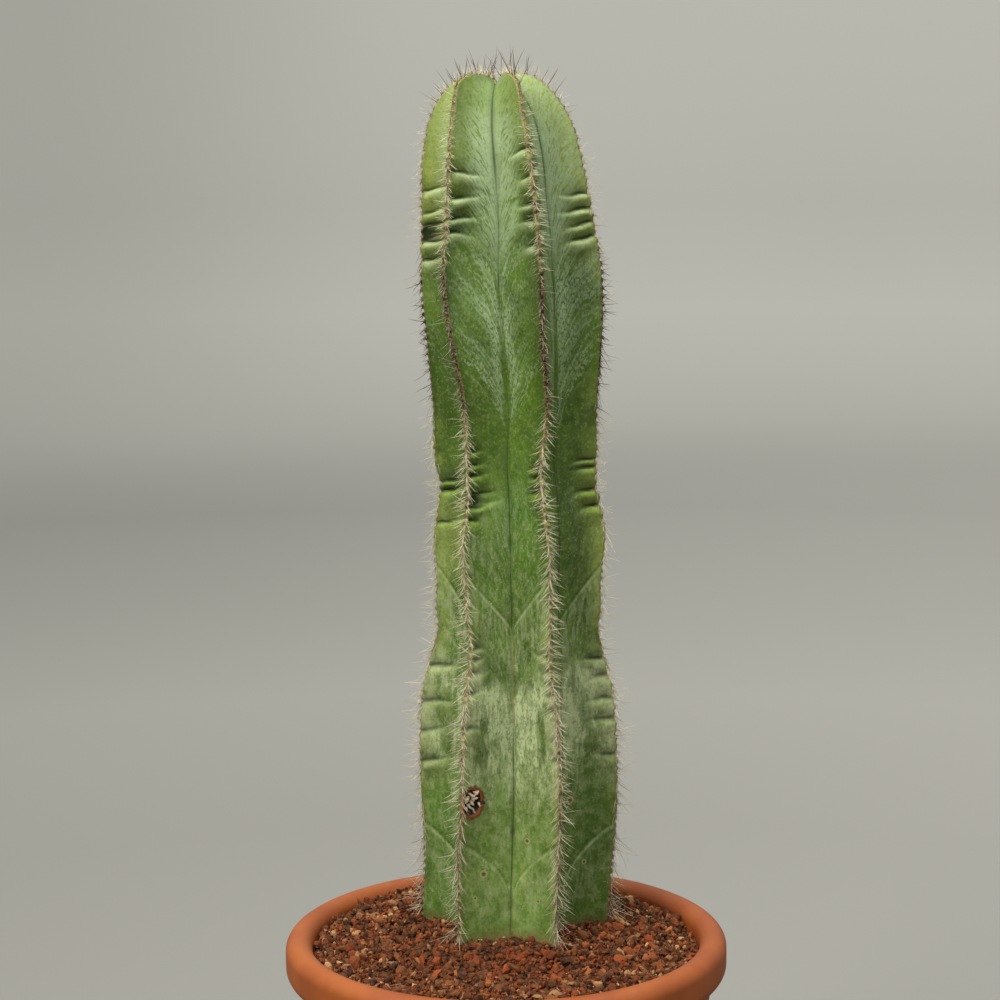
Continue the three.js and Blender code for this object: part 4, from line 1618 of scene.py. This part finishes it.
@dataclass
class Areoles:
    """One rib's areoles: a strip of felt with tufts, and the spines that stand in it."""

    form: StemForm
    index: int
    felt: bpy.types.Material
    horn: bpy.types.Material
    top_radius: float = 5.0
    half_width: float = 0.42
    tuft_width: float = 0.55
    thickness: float = 0.30
    tuft_thickness: float = 0.60
    rows_per_areole: int = 7
    columns: int = 8
    spine_sides: int = 5
    spine_stops: tuple[float, ...] = (0.0, 0.3, 0.7)
    spine_taper: tuple[float, ...] = (1.0, 0.9, 0.62)
    radials: tuple[int, int] = (7, 11)
    whiskers_each: int = 2
    thin: float = 0.09
    stout: float = 0.14
    hairs: int = 18
    slant: Keys = (
        (0, 142), (60, 132), (150, 124), (300, 122), (420, 116), (490, 104), (515, 80), (538, 45),
    )
    radial_length: Keys = (
        (0, 13.5), (30, 12.5), (80, 11.4), (150, 11.0), (250, 10.4), (310, 9.8), (360, 9.4),
        (430, 9.2), (500, 8.4), (538, 5.6),
    )
    central_length: Keys = (
        (0, 24), (30, 22), (60, 18), (130, 15), (250, 12.0), (350, 12.5), (430, 10.5), (500, 11),
        (525, 17), (540, 18),
    )
    brownness: Keys = (
        (0, 0.54), (60, 0.46), (120, 0.34), (160, 0.26), (230, 0.16), (300, 0.14), (325, 0.36),
        (350, 0.92), (412, 0.88), (442, 0.36), (490, 0.26), (515, 0.32), (540, 0.38),
    )

    def build(self) -> None:
        """Makes the felt and the spines of the rib."""
        name = RIBS[self.index].name
        self.rng = np.random.default_rng(100 + self.index)
        self.path = CrestPath.of(self.form, self.index, self.top_radius)
        total = self.path.length[-1]
        count = int(total / self.form.areole_step)
        places = (np.arange(count) + 0.5) * total / count
        self.places = places + self.rng.normal(0, 0.35, count)
        felt = self._felt(name, total, count)
        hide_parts(f"areoles_{name}")
        spines = self._spines(name)
        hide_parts(f"areoles_{name}")

    def _felt(self, name: str, total: float, count: int) -> bpy.types.Object:
        """Makes the strip of felt, thicker at each areole.

        Args:
            name: The rib's name.
            total: The crest's length.
            count: How many areoles it has.

        Returns:
            The piece.
        """
        rows = count * self.rows_per_areole
        distance = np.linspace(0.2, total - 0.1, rows)
        line = self.path.at(distance)
        gap = np.abs(distance[:, None] - self.places[None, :]).min(axis=1)
        tuft = np.exp(-((gap / 1.25) ** 2))
        level = line.points[:, 2] - RIM_LEVEL
        young = smooth_step(level, 500, 530)
        angle = np.linspace(-100, 100, self.columns)
        rough = self.rng.normal(0, 0.10, (rows, self.columns))
        dark = through(self.brownness, level)
        width = self.half_width * (0.55 + 2.4 * dark) + self.tuft_width * (0.75 + 1.1 * dark) * tuft
        height = (self.thickness + self.tuft_thickness * tuft) * (1 - 0.3 * young)
        across = np.sin(np.radians(angle))[None, :] * width[:, None]
        lifted = np.cos(np.radians(angle))[None, :] * height[:, None]
        lifted = lifted + rough * 1.5 * (np.abs(angle) < 90)
        points = line.points[:, None, :] + line.side[:, None, :] * across[..., None]
        points = points + line.out[:, None, :] * (lifted - 0.15)[..., None]
        order = np.arange(self.columns)
        faces = [grid_faces(rows, self.columns, False), order[::-1][None, :]]
        faces.append((order + (rows - 1) * self.columns)[None, :])
        strip = points.reshape(-1, 3)
        hair_points, hair_faces = self._wool()
        faces.append(hair_faces + len(strip))
        hair_brown = through(self.brownness, hair_points[:, 2] - RIM_LEVEL)
        traits = {
            "tuft": np.concatenate([np.repeat(tuft, self.columns), np.ones(len(hair_points))]),
            "brown": np.concatenate([np.repeat(dark, self.columns), hair_brown]),
        }
        points = np.concatenate([strip, hair_points])
        return make_piece(f"felt_{name}", points, faces, self.felt, Slot.SPINES, traits)

    def _wool(self) -> tuple[np.ndarray, np.ndarray]:
        """Gives short three-sided hairs in each tuft.

        Returns:
            The points and the faces.
        """
        at = np.repeat(self.places, self.hairs)
        at = at + self.rng.normal(0, 0.9, len(at))
        line = self.path.at(np.clip(at, 0.3, self.path.length[-1] - 0.3))
        count = len(at)
        sideways = self.rng.uniform(-1, 1, count)
        root = line.points + line.side * (sideways * 0.6)[:, None] + line.out * 0.2
        way = line.out * self.rng.uniform(0.5, 1.0, count)[:, None]
        brown = through(self.brownness, line.points[:, 2] - RIM_LEVEL)
        way = way + line.side * (sideways * (0.9 + 0.9 * brown))[:, None]
        way = unit(way + line.up * self.rng.normal(0, 0.5, count)[:, None])
        tip = root + way * ((1 + 1.6 * brown) * self.rng.uniform(0.6, 1.3, count))[:, None]
        straight = np.zeros_like(root)
        return needles(root, tip, straight, np.full(count, self.thin), 3, (0.0,), (1.0,))[:2]

    def _radials(self) -> tuple[np.ndarray, np.ndarray, np.ndarray, np.ndarray]:
        """Draws the spines that spread round each areole.

        Returns:
            Their areoles, directions and lengths, and how far down each stands.
        """
        rng, line, level = self.rng, self.line, self.level
        number = rng.integers(self.radials[0], self.radials[1], len(level))
        foot = 1 - smooth_step(level, 50, 110)
        number = np.maximum(number - (2.4 * self.crown + 2.0 * foot).astype(int), 4)
        owner = np.repeat(np.arange(len(level)), number)
        turn = np.where(np.arange(len(owner)) % 2 == 0, 1, -1)
        down = rng.uniform(-1, 1, len(owner))
        slant = through(self.slant, level[owner]) + 14 * down + rng.normal(0, 11, len(owner))
        angle = turn * np.radians(slant)
        flat = rng.uniform(0.05, 0.55, len(owner)) + 0.8 * self.crown[owner]
        way = unit(
            line.up[owner] * np.cos(angle)[:, None]
            + line.side[owner] * np.sin(angle)[:, None]
            + line.out[owner] * flat[:, None]
        )
        reach = through(self.radial_length, level[owner]) * rng.uniform(0.48, 1.25, len(owner))
        dark = smooth_step(through(self.brownness, level[owner]), 0.6, 0.9)
        return owner, way, reach * (1 - 0.28 * dark), down

    def _centrals(self) -> tuple[np.ndarray, np.ndarray, np.ndarray, np.ndarray]:
        """Draws the stout spines that stand out of each areole's middle.

        Returns:
            Their areoles, directions and lengths, and which of them are short.
        """
        rng, line = self.rng, self.line
        number = rng.integers(1, 3, len(self.level)) + (self.crown > 0.5)
        owner = np.repeat(np.arange(len(self.level)), number)
        count, crown = len(owner), self.crown[owner]
        droop = rng.uniform(-1.35, 0.25, count) * (1 - crown)
        way = unit(
            line.out[owner]
            + line.up[owner] * droop[:, None]
            + line.side[owner] * rng.normal(0, 0.6, count)[:, None]
            + np.array([0, 0, 0.35]) * crown[:, None]
        )
        reach = through(self.central_length, self.level[owner]) * rng.uniform(0.45, 1.15, count)
        short = (crown > 0.3) & (rng.uniform(size=count) < 0.52)
        return owner, way, np.where(short, 0.5 * reach, reach), short

    def _whiskers(self) -> tuple[np.ndarray, np.ndarray, np.ndarray]:
        """Draws the thin spines that stand out between the others.

        Returns:
            Their areoles, directions and lengths.
        """
        rng, line = self.rng, self.line
        owner = np.repeat(np.arange(len(self.level)), self.whiskers_each)
        count = len(owner)
        lean = rng.uniform(-1.05, 0.40, count) + 0.5 * self.crown[owner]
        way = unit(
            line.out[owner]
            + line.up[owner] * lean[:, None]
            + line.side[owner] * rng.normal(0, 0.55, count)[:, None]
        )
        reach = through(self.radial_length, self.level[owner]) * rng.uniform(0.40, 1.50, count)
        return owner, way, reach

    def _spines(self, name: str) -> bpy.types.Object:
        """Makes all the rib's spines as one piece.

        Args:
            name: The rib's name.

        Returns:
            The piece.
        """
        rng = self.rng
        line = self.line = self.path.at(self.places)
        self.level = line.points[:, 2] - RIM_LEVEL
        self.crown = smooth_step(self.level, 508, 530)
        *radials, down = self._radials()
        *centrals, short = self._centrals()
        sorts = (radials, centrals, self._whiskers())
        counts = [len(sort[0]) for sort in sorts]
        owner, way, reach = (np.concatenate(parts) for parts in zip(*sorts))
        slid = [-1.5 * down, rng.normal(0, 0.5, counts[1]), rng.normal(0, 0.9, counts[2])]
        root = line.points[owner] + line.out[owner] * 0.3
        root = root + line.side[owner] * rng.normal(0, 0.25, len(owner))[:, None]
        root = root + line.up[owner] * np.concatenate(slid)[:, None]
        reach = self._above_grit(root, way, reach)
        bow = np.cross(way, unit(rng.normal(size=way.shape))) * (0.05 * reach)[:, None]
        brown = through(self.brownness, self.level[owner]) * np.repeat([1.0, 1.0, 0.55], counts)
        long = np.concatenate([np.zeros(counts[0]), 1.0 - short, np.zeros(counts[2])])
        brown = brown + self.crown[owner] * (0.65 * long - 0.05)
        brown = np.clip(brown + rng.normal(0, 1, len(owner)) * 0.18, 0, 1)
        stout = np.repeat([self.thin, self.stout, self.thin], counts)
        points, faces, along, number = needles(
            root, root + way * reach[:, None], bow,
            stout * rng.uniform(0.85, 1.2, len(owner)) * (1 + 0.45 * brown),
            self.spine_sides, self.spine_stops, self.spine_taper,
        )
        traits = {"along": along, "tint": brown[number]}
        return make_piece(f"spines_{name}", points, [faces], self.horn, Slot.SPINES, traits)

    @staticmethod
    def _above_grit(root: np.ndarray, way: np.ndarray, reach: np.ndarray) -> np.ndarray:
        """Shortens the lowest spines so that they end where they meet the grit.

        Args:
            root: Where the spines start.
            way: Their directions.
            reach: Their lengths.

        Returns:
            Their lengths above the grit.
        """
        tip = root + way * reach[:, None]
        clear = root[:, 2] - grit_level(tip) - 0.4
        fall = np.maximum(-way[:, 2], 1e-3) * reach
        share = np.where(way[:, 2] < 0, np.clip(clear / fall, 0.3, 1), 1)
        return reach * share


def needles(
    root: np.ndarray,
    tip: np.ndarray,
    bow: np.ndarray,
    thickness: np.ndarray,
    sides: int,
    stops: Sequence[float],
    taper: Sequence[float],
) -> tuple[np.ndarray, np.ndarray, np.ndarray, np.ndarray]:
    """Makes tapered, slightly bent needles.

    Args:
        root: Where each starts.
        tip: Where each ends.
        bow: How far its middle is pushed aside.
        thickness: Its radius at the root.
        sides: How many sides it has.
        stops: The places of its rings, from 0 at the root to 1 at the tip.
        taper: Each ring's share of the root's radius.

    Returns:
        The points, the faces, each point's place along its needle, and its needle's number.
    """
    count = len(root)
    way = unit(tip - root)
    other = np.where(np.abs(way[:, 2:]) < 0.8, np.array([[0.0, 0, 1]]), np.array([[1.0, 0, 0]]))
    first = unit(np.cross(way, other))
    second = np.cross(way, first)
    rings = []
    for stop, share in zip(stops, taper):
        centre = root + (tip - root) * stop + bow * (4 * stop * (1 - stop))
        for k in range(sides):
            angle = 2 * np.pi * k / sides
            spoke = first * np.cos(angle) + second * np.sin(angle)
            rings.append(centre + spoke * (thickness * share)[:, None])
    points = np.stack([*rings, tip], axis=1)
    faces = []
    last = len(stops) - 1
    for level in range(last):
        for k in range(sides):
            a, b = level * sides + k, level * sides + (k + 1) % sides
            faces += [[a, b, b + sides], [a, b + sides, a + sides]]
    for k in range(sides):
        faces.append([last * sides + k, last * sides + (k + 1) % sides, len(stops) * sides])
    each = points.shape[1]
    shift = np.arange(count)[:, None, None] * each
    all_faces = (np.array(faces)[None] + shift).reshape(-1, 3)
    along = np.tile(np.concatenate([np.repeat(stops, sides), [1.0]]), count)
    return points.reshape(-1, 3), all_faces, along, np.repeat(np.arange(count), each)


# The grit's levels from the rim, how far its mound slopes, its rise at the back left, and the
# stem's radius where it stands in the grit.
GRIT_AT_WALL = -10.0
GRIT_AT_STEM = -2.0
GRIT_REACH = 62.0
GRIT_HEAP = 4.0
STEM_FOOT_GIRTH = 59.6

# The rows of a triangular grid are this share of its spacing apart.
TRIANGLE_ROW = 0.866


def grit_level(places: np.ndarray) -> np.ndarray:
    """Gives the grit's level, mounded towards the stem and heaped a little at the back left.

    Args:
        places: The places that it is wanted at.

    Returns:
        The heights.
    """
    x, y = places[:, 0], places[:, 1]
    from_stem = np.hypot(x - StemForm.x, y - StemForm.y) - STEM_FOOT_GIRTH
    slope = smooth_step(from_stem, 0, GRIT_REACH)
    heap = GRIT_HEAP * smooth_step(0.85 * y - 0.45 * x, 0, 110)
    return RIM_LEVEL + GRIT_AT_STEM + (GRIT_AT_WALL - GRIT_AT_STEM) * slope + heap


def inside(points: np.ndarray, outline: np.ndarray) -> np.ndarray:
    """Tells which level points lie inside a closed outline.

    Args:
        points: The level points.
        outline: The outline's corners in order.

    Returns:
        True for each point that does.
    """
    x, y = points[:, 0][:, None], points[:, 1][:, None]
    x0, y0 = outline[:, 0][None, :], outline[:, 1][None, :]
    x1, y1 = np.roll(x0, -1), np.roll(y0, -1)
    crosses = (y0 > y) != (y1 > y)
    where = x0 + (y - y0) * (x1 - x0) / np.where(y1 == y0, 1e-9, y1 - y0)
    return (crosses & (x < where)).sum(axis=1) % 2 == 1


@dataclass
class GritFill:
    """The lava grit: a rough bed in the pot, covered in loose angular grains."""

    form: StemForm
    wall_radius: float = 122.4
    floor_radius: float = 89.8
    floor_level: float = 12.4
    bed_sides: int = 120
    bed_rings: int = 44
    bed_depth: float = 2.2
    spacing: float = 4.1
    sizes: tuple[float, float] = (1.3, 3.0)
    big_sizes: tuple[float, float] = (3.4, 4.6)
    big_share: float = 0.09
    heaped: int = 700
    heaped_rise: float = 1.7
    crumbs: int = 3800
    crumb_sizes: tuple[float, float] = (0.55, 1.25)
    kinds: tuple[tuple[str, float, tuple[Colour, ...]], ...] = (
        ("grit_red", 0.28, (srgb(82, 35, 14), srgb(110, 50, 20), srgb(138, 66, 27))),
        ("grit_brown", 0.28, (srgb(66, 38, 19), srgb(90, 53, 27), srgb(112, 70, 38))),
        ("grit_dark", 0.27, (srgb(28, 18, 11), srgb(46, 29, 18), srgb(68, 44, 28))),
        ("grit_rust", 0.09, (srgb(150, 80, 36), srgb(156, 96, 54), srgb(130, 80, 46))),
        ("grit_pale", 0.08, (srgb(196, 150, 100), srgb(160, 118, 78), srgb(128, 94, 64))),
    )

    def build(self) -> None:
        """Makes the bed and the grains."""
        self._bed()
        self._grains()

    def _bed(self) -> None:
        """Makes the closed bed that fills the pot under the grains."""
        rng = np.random.default_rng(3)
        profile = (
            (0.02, self.floor_level), (self.floor_radius, self.floor_level),
            (self.wall_radius, RIM_LEVEL - 20), (self.wall_radius, RIM_LEVEL - 12.2),
        )
        rings = [ring(radius, level, self.bed_sides) for radius, level in profile]
        for k in range(1, self.bed_rings + 1):
            row = ring(self.wall_radius * max(1 - k / self.bed_rings, 0.002), 0, self.bed_sides)
            rough = rng.normal(0, 0.7, self.bed_sides)
            row[:, 2] = grit_level(row) - self.bed_depth + rough
            rings.append(row)
        points, faces = capped(rings, (0, 0, self.floor_level), (0, 0, RIM_LEVEL - 4))
        tint = rng.uniform(0, 1, len(points))
        finish = GritFinish("grit_bed", self.kinds[1][2])
        bed = make_piece("grit_bed", points, faces, finish.material(), Slot.GRIT, {"tint": tint})
        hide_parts("substrate")

    def _clear_of_stem(self, flat: np.ndarray, margin: Union[float, np.ndarray]) -> np.ndarray:
        """Tells which level places stay outside the stem when they move nearer by a margin."""
        axis = np.array([self.form.x, self.form.y])
        return ~inside(flat - unit(flat - axis) * margin, self.form.outline(0.0))

    def _places(self, rng: np.random.Generator) -> tuple[np.ndarray, np.ndarray]:
        """Strews the grains over the bed.

        Args:
            rng: The random numbers.

        Returns:
            The grains' centres and sizes.
        """
        step, wall = self.spacing, self.wall_radius
        spots = []
        for k, y in enumerate(np.arange(-wall, wall, step * TRIANGLE_ROW)):
            x = np.arange(-wall, wall, step) + (k % 2) * step / 2
            spots.append(np.stack([x, np.full_like(x, y)], axis=-1))
        first = np.concatenate(spots)
        first = first + rng.normal(0, 0.30 * step, first.shape)
        flat = np.concatenate([first, rng.uniform(-wall, wall, (self.heaped, 2))])
        top = np.arange(len(flat)) >= len(first)
        size = rng.uniform(*self.sizes, len(flat))
        big = rng.uniform(size=len(flat)) < self.big_share
        size = np.where(big, rng.uniform(*self.big_sizes, len(flat)), size)
        keep = np.hypot(flat[:, 0], flat[:, 1]) < wall - 0.85 * size
        keep &= self._clear_of_stem(flat, (0.45 * size)[:, None])
        flat, size, top = flat[keep], size[keep], top[keep]
        level = grit_level(flat) - 0.9 + rng.normal(0, 0.75, len(flat))
        level = level + top * self.heaped_rise
        return np.column_stack([flat, level]), size

    def _crumbs(self, rng: np.random.Generator) -> tuple[np.ndarray, np.ndarray]:
        """Scatters fine crumbs among the grains.

        Args:
            rng: The random numbers.

        Returns:
            The crumbs' centres and sizes.
        """
        reach = (self.wall_radius - 1.5) * np.sqrt(rng.uniform(0, 1, self.crumbs))
        flat = heading(rng.uniform(0, 360, self.crumbs))[:, :2] * reach[:, None]
        size = rng.uniform(*self.crumb_sizes, len(flat))
        keep = self._clear_of_stem(flat, 0.4)
        flat, size = flat[keep], size[keep]
        level = grit_level(flat) + rng.uniform(-0.4, 2.1, len(flat))
        return np.column_stack([flat, level]), size

    def _grains(self) -> None:
        """Makes the grains and crumbs, a piece for each kind of lava, redder before the stem."""
        rng = np.random.default_rng(8)
        stones = (*self._places(rng), 2)
        crumbs = (*self._crumbs(rng), 1)
        made: dict[str, list[tuple[np.ndarray, np.ndarray, np.ndarray]]] = {}
        for centres, sizes, detail in (stones, crumbs):
            draw = rng.uniform(size=len(centres))
            x, y = centres[:, 0], centres[:, 1]
            before_stem = np.exp(-((x / 48) ** 2 + ((y + 46) / 16) ** 2))
            draw = draw - 0.35 * before_stem
            start = -1.0
            end = 0.0
            for name, share, _ in self.kinds:
                end += share
                mine = (draw >= start) & (draw < end)
                start = end
                count = int(mine.sum())
                stretch = rng.uniform((0.9, 0.65, 0.5), (1.5, 1.15, 0.9), (count, 3))
                tint = rng.uniform(0, 1, count)
                part = rocks(rng, centres[mine], sizes[mine], stretch, tint, detail)
                made.setdefault(name, []).append(part)
        for name, _, tints in self.kinds:
            points, faces, tints_at = zip(*made[name])
            joined = np.concatenate([faces[0], faces[1] + len(points[0])])
            finish = GritFinish(name, tints)
            make_piece(name, np.concatenate(points), [joined], finish.material(), Slot.GRIT,
                       {"tint": np.concatenate(tints_at)}, smooth=False)


@dataclass
class ClayPot:
    """The pot: a tapered clay body with a thick rounded rim and drain holes."""

    foot_radius: float = 97.0
    foot_round: float = 3.0
    rim_width: float = 17.0
    rim_height: float = 27.0
    wall: float = 9.0
    floor: float = 12.0
    sides: int = 160
    drains: int = 5
    drain_radius: float = 7.0
    drain_ring: float = 52.0

    @staticmethod
    def _arc(
        centre: tuple[float, float], size: float, start: float, end: float, steps: int
    ) -> list[tuple[float, float]]:
        """Gives an arc of the pot's section, between two angles in degrees."""
        angles = np.radians(np.linspace(start, end, steps + 1))
        return [(centre[0] + size * math.cos(a), centre[1] + size * math.sin(a)) for a in angles]

    def _profile(self) -> list[tuple[float, float]]:
        """Gives the pot's section, from the axis below to the axis inside.

        Returns:
            The section's radii and heights.
        """
        half = self.rim_width / 2
        middle = RIM_RADIUS - half
        under = RIM_LEVEL - self.rim_height
        inner = RIM_RADIUS - self.rim_width
        floor_radius = self.foot_radius - self.wall + 1.5
        foot = (self.foot_radius - self.foot_round, self.foot_round)
        body = np.linspace(0.04, 0.985, 26)
        return [
            (0.02, 0.0), (20.0, 0.0), (75.0, 0.0),
            *self._arc(foot, self.foot_round, -90, 0, 5),
            *[(self.foot_radius + (middle - self.foot_radius) * t, under * t) for t in body],
            *self._arc((middle, under + half), half, -90, 0, 10),
            *self._arc((middle, RIM_LEVEL - half), half, 0, 180, 22),
            (inner - 0.3, under + 8), (inner - 0.5, under),
            (floor_radius + 2, self.floor + 10), (floor_radius, self.floor),
            (60.0, self.floor), (0.02, self.floor),
        ]

    def build(self) -> None:
        """Makes the pot and cuts its drain holes."""
        rings = [ring(radius, level, self.sides) for radius, level in self._profile()]
        points, faces = capped(rings, (0, 0, 0), (0, 0, self.floor))
        pot = make_piece("pot_body", points, faces, ClayFinish().material(), Slot.CLAY)
        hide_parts("pot")
        self._drill(pot)

    def _drill(self, pot: bpy.types.Object) -> None:
        """Cuts the drain holes through the pot's floor.

        Args:
            pot: The pot.
        """
        shape = bmesh.new()
        for k in range(self.drains):
            place = heading(np.array([360 / self.drains * k]))[0] * self.drain_ring * MM
            spot = Matrix.Translation((place[0], place[1], self.floor * MM / 2))
            bmesh.ops.create_cone(
                shape, cap_ends=True, segments=40, radius1=self.drain_radius * MM,
                radius2=self.drain_radius * MM, depth=3 * self.floor * MM, matrix=spot,
            )
        mesh = bpy.data.meshes.new("drills")
        shape.to_mesh(mesh)
        shape.free()
        drills = bpy.data.objects.new("drills", mesh)
        bpy.context.scene.collection.objects.link(drills)
        cut = pot.modifiers.new("drains", "BOOLEAN")
        cut.operation = "DIFFERENCE"
        cut.solver = "EXACT"
        cut.object = drills
        bpy.context.view_layer.update()
        shown = pot.evaluated_get(bpy.context.evaluated_depsgraph_get())
        drilled = bpy.data.meshes.new_from_object(shown)
        pot.modifiers.clear()
        pot.data = drilled
        bpy.data.objects.remove(drills)


@dataclass
class Litter:
    """What has dropped onto the grit: a few cast spines."""

    horn: bpy.types.Material
    count: int = 10
    ring: tuple[float, float] = (72.0, 112.0)
    lengths: tuple[float, float] = (5.0, 11.0)

    def build(self) -> None:
        """Makes the cast spines."""
        rng = np.random.default_rng(77)
        turn = rng.uniform(-180, 180, self.count)
        away = rng.uniform(*self.ring, self.count)
        spot = heading(turn) * away[:, None]
        spot[:, 1] += 4
        spot[:, 2] = grit_level(spot) + rng.uniform(2.0, 3.4, self.count)
        keep = np.hypot(spot[:, 0], spot[:, 1]) < self.ring[1]
        spot = spot[keep]
        way = heading(rng.uniform(0, 360, len(spot))) + np.array([0, 0, 0.12])
        reach = rng.uniform(*self.lengths, len(spot))
        bow = np.cross(way, np.array([0, 0, 1.0])) * rng.uniform(-0.6, 0.6, (len(spot), 1))
        points, faces, along, number = needles(
            spot, spot + way * reach[:, None], bow, np.full(len(spot), 0.24), 5,
            (0.0, 0.35, 0.7), (1.0, 0.85, 0.5),
        )
        tint = rng.uniform(0.4, 0.9, len(spot))[number]
        make_piece("cast_spines", points, [faces], self.horn, Slot.SPINES,
                   {"along": along, "tint": tint})


@dataclass
class Viewpoint:
    """The camera: a long lens a little above the stem's top, tilted down."""

    distance_mm: float = 1600.0
    above_rim_mm: float = 532.2
    pitch_down: float = 9.0426
    roll: float = -0.65
    focal_px: float = 2612.5
    image_px: float = 1000.0
    axis_px: float = 501.0
    sensor_mm: float = 36.0

    def build(self) -> None:
        """Makes the camera and gives it to the scene."""
        pitch = math.radians(self.pitch_down)
        roll = math.radians(self.roll)
        ahead = Vector((0, math.cos(pitch), -math.sin(pitch)))
        rise = Vector((0, math.sin(pitch), math.cos(pitch)))
        right = Vector((1, 0, 0))
        level = right * math.cos(roll) + rise * math.sin(roll)
        above = rise * math.cos(roll) - right * math.sin(roll)
        turn = Matrix((level, above, -ahead)).transposed().to_4x4()
        data = bpy.data.cameras.new("viewpoint")
        data.sensor_width = self.sensor_mm
        data.lens = self.focal_px / self.image_px * self.sensor_mm
        data.shift_x = (self.image_px / 2 - self.axis_px) / self.image_px
        data.clip_start = 0.05
        data.clip_end = 100.0
        made = bpy.data.objects.new("viewpoint", data)
        height = (RIM_LEVEL + self.above_rim_mm) * MM
        made.matrix_world = Matrix.Translation((0, -self.distance_mm * MM, height)) @ turn
        bpy.context.scene.collection.objects.link(made)
        bpy.context.scene.camera = made
        log.info("viewpoint: lens %.2f mm", data.lens)


@dataclass(frozen=True)
class Lamp:
    """One soft lamp, in metres and watts."""

    name: str
    place: tuple[float, float, float]
    size: float
    power: float
    colour: Colour


@dataclass
class Studio:
    """The pale floor that curves up into a round backdrop, and the soft lamps."""

    floor_radius: float = 4.2
    cove: float = 1.6
    height: float = 3.0
    aim: tuple[float, float, float] = (0.0, 0.0, 0.50)
    lamps: tuple[Lamp, ...] = (
        Lamp("key", (-1.7, -2.0, 2.6), 1.3, 96.0, (1.0, 0.97, 0.92)),
        Lamp("fill", (2.2, -2.5, 1.5), 2.0, 15.0, (0.95, 0.98, 1.0)),
        Lamp("overhead", (0.1, -0.2, 2.9), 1.4, 36.0, (1.0, 1.0, 1.0)),
    )

    def build(self) -> None:
        """Makes the backdrop, the lamps and the sky."""
        self._backdrop()
        for lamp in self.lamps:
            self._lamp(lamp)
        bpy.context.scene.world = StudioFinish().sky()
        view = bpy.context.scene.view_settings
        view.view_transform = "Standard"
        view.look = "None"

    def _backdrop(self) -> None:
        """Makes the floor and the round wall as one smooth bowl."""
        sides = 128
        arc = np.radians(np.linspace(-90, 0, 16))
        radii = [0.002, 0.3, 1.0, 2.0, self.floor_radius]
        profile = [(radius, 0.0) for radius in radii]
        for angle in arc[1:]:
            reach = self.floor_radius + self.cove * math.cos(angle)
            profile.append((reach, self.cove * (1 + math.sin(angle))))
        profile.append((self.floor_radius + self.cove, self.height))
        points = np.concatenate([ring(radius, level, sides) for radius, level in profile])
        faces = grid_faces(len(profile), sides, True)[:, ::-1]
        mesh = bpy.data.meshes.new("backdrop")
        mesh.from_pydata(points.tolist(), [], faces.tolist())
        mesh.polygons.foreach_set("use_smooth", np.ones(len(mesh.polygons), dtype=bool))
        mesh.materials.append(StudioFinish().material())
        bowl = bpy.data.objects.new("backdrop", mesh)
        for ray in ("diffuse", "glossy", "shadow"):
            setattr(bowl, f"visible_{ray}", False)
        bpy.context.scene.collection.objects.link(bowl)

    def _lamp(self, lamp: Lamp) -> None:
        """Makes one lamp, turned towards the plant.

        Args:
            lamp: The lamp.
        """
        data = bpy.data.lights.new(lamp.name, "AREA")
        data.shape = "DISK"
        data.size = lamp.size
        data.energy = lamp.power
        data.color = lamp.colour
        made = bpy.data.objects.new(lamp.name, data)
        made.location = lamp.place
        towards = Vector(self.aim) - Vector(lamp.place)
        made.rotation_mode = "QUATERNION"
        made.rotation_quaternion = towards.to_track_quat("-Z", "Y")
        made.visible_camera = False
        bpy.context.scene.collection.objects.link(made)


def main() -> None:
    """Builds the pot, the grit, the stem, its areoles, the camera and the studio."""
    logging.basicConfig(level=logging.INFO, format="%(name)s: %(message)s")
    form = StemForm()
    ClayPot().build()
    GritFill(form).build()
    Stem(form, SkinFinish()).build()
    felt = FeltFinish().material()
    horn = SpineFinish().material()
    for index in range(len(RIBS)):
        Areoles(form, index, felt, horn).build()
    Litter(horn).build()
    Viewpoint().build()
    Studio().build()


if __name__ == "__main__":
    main()
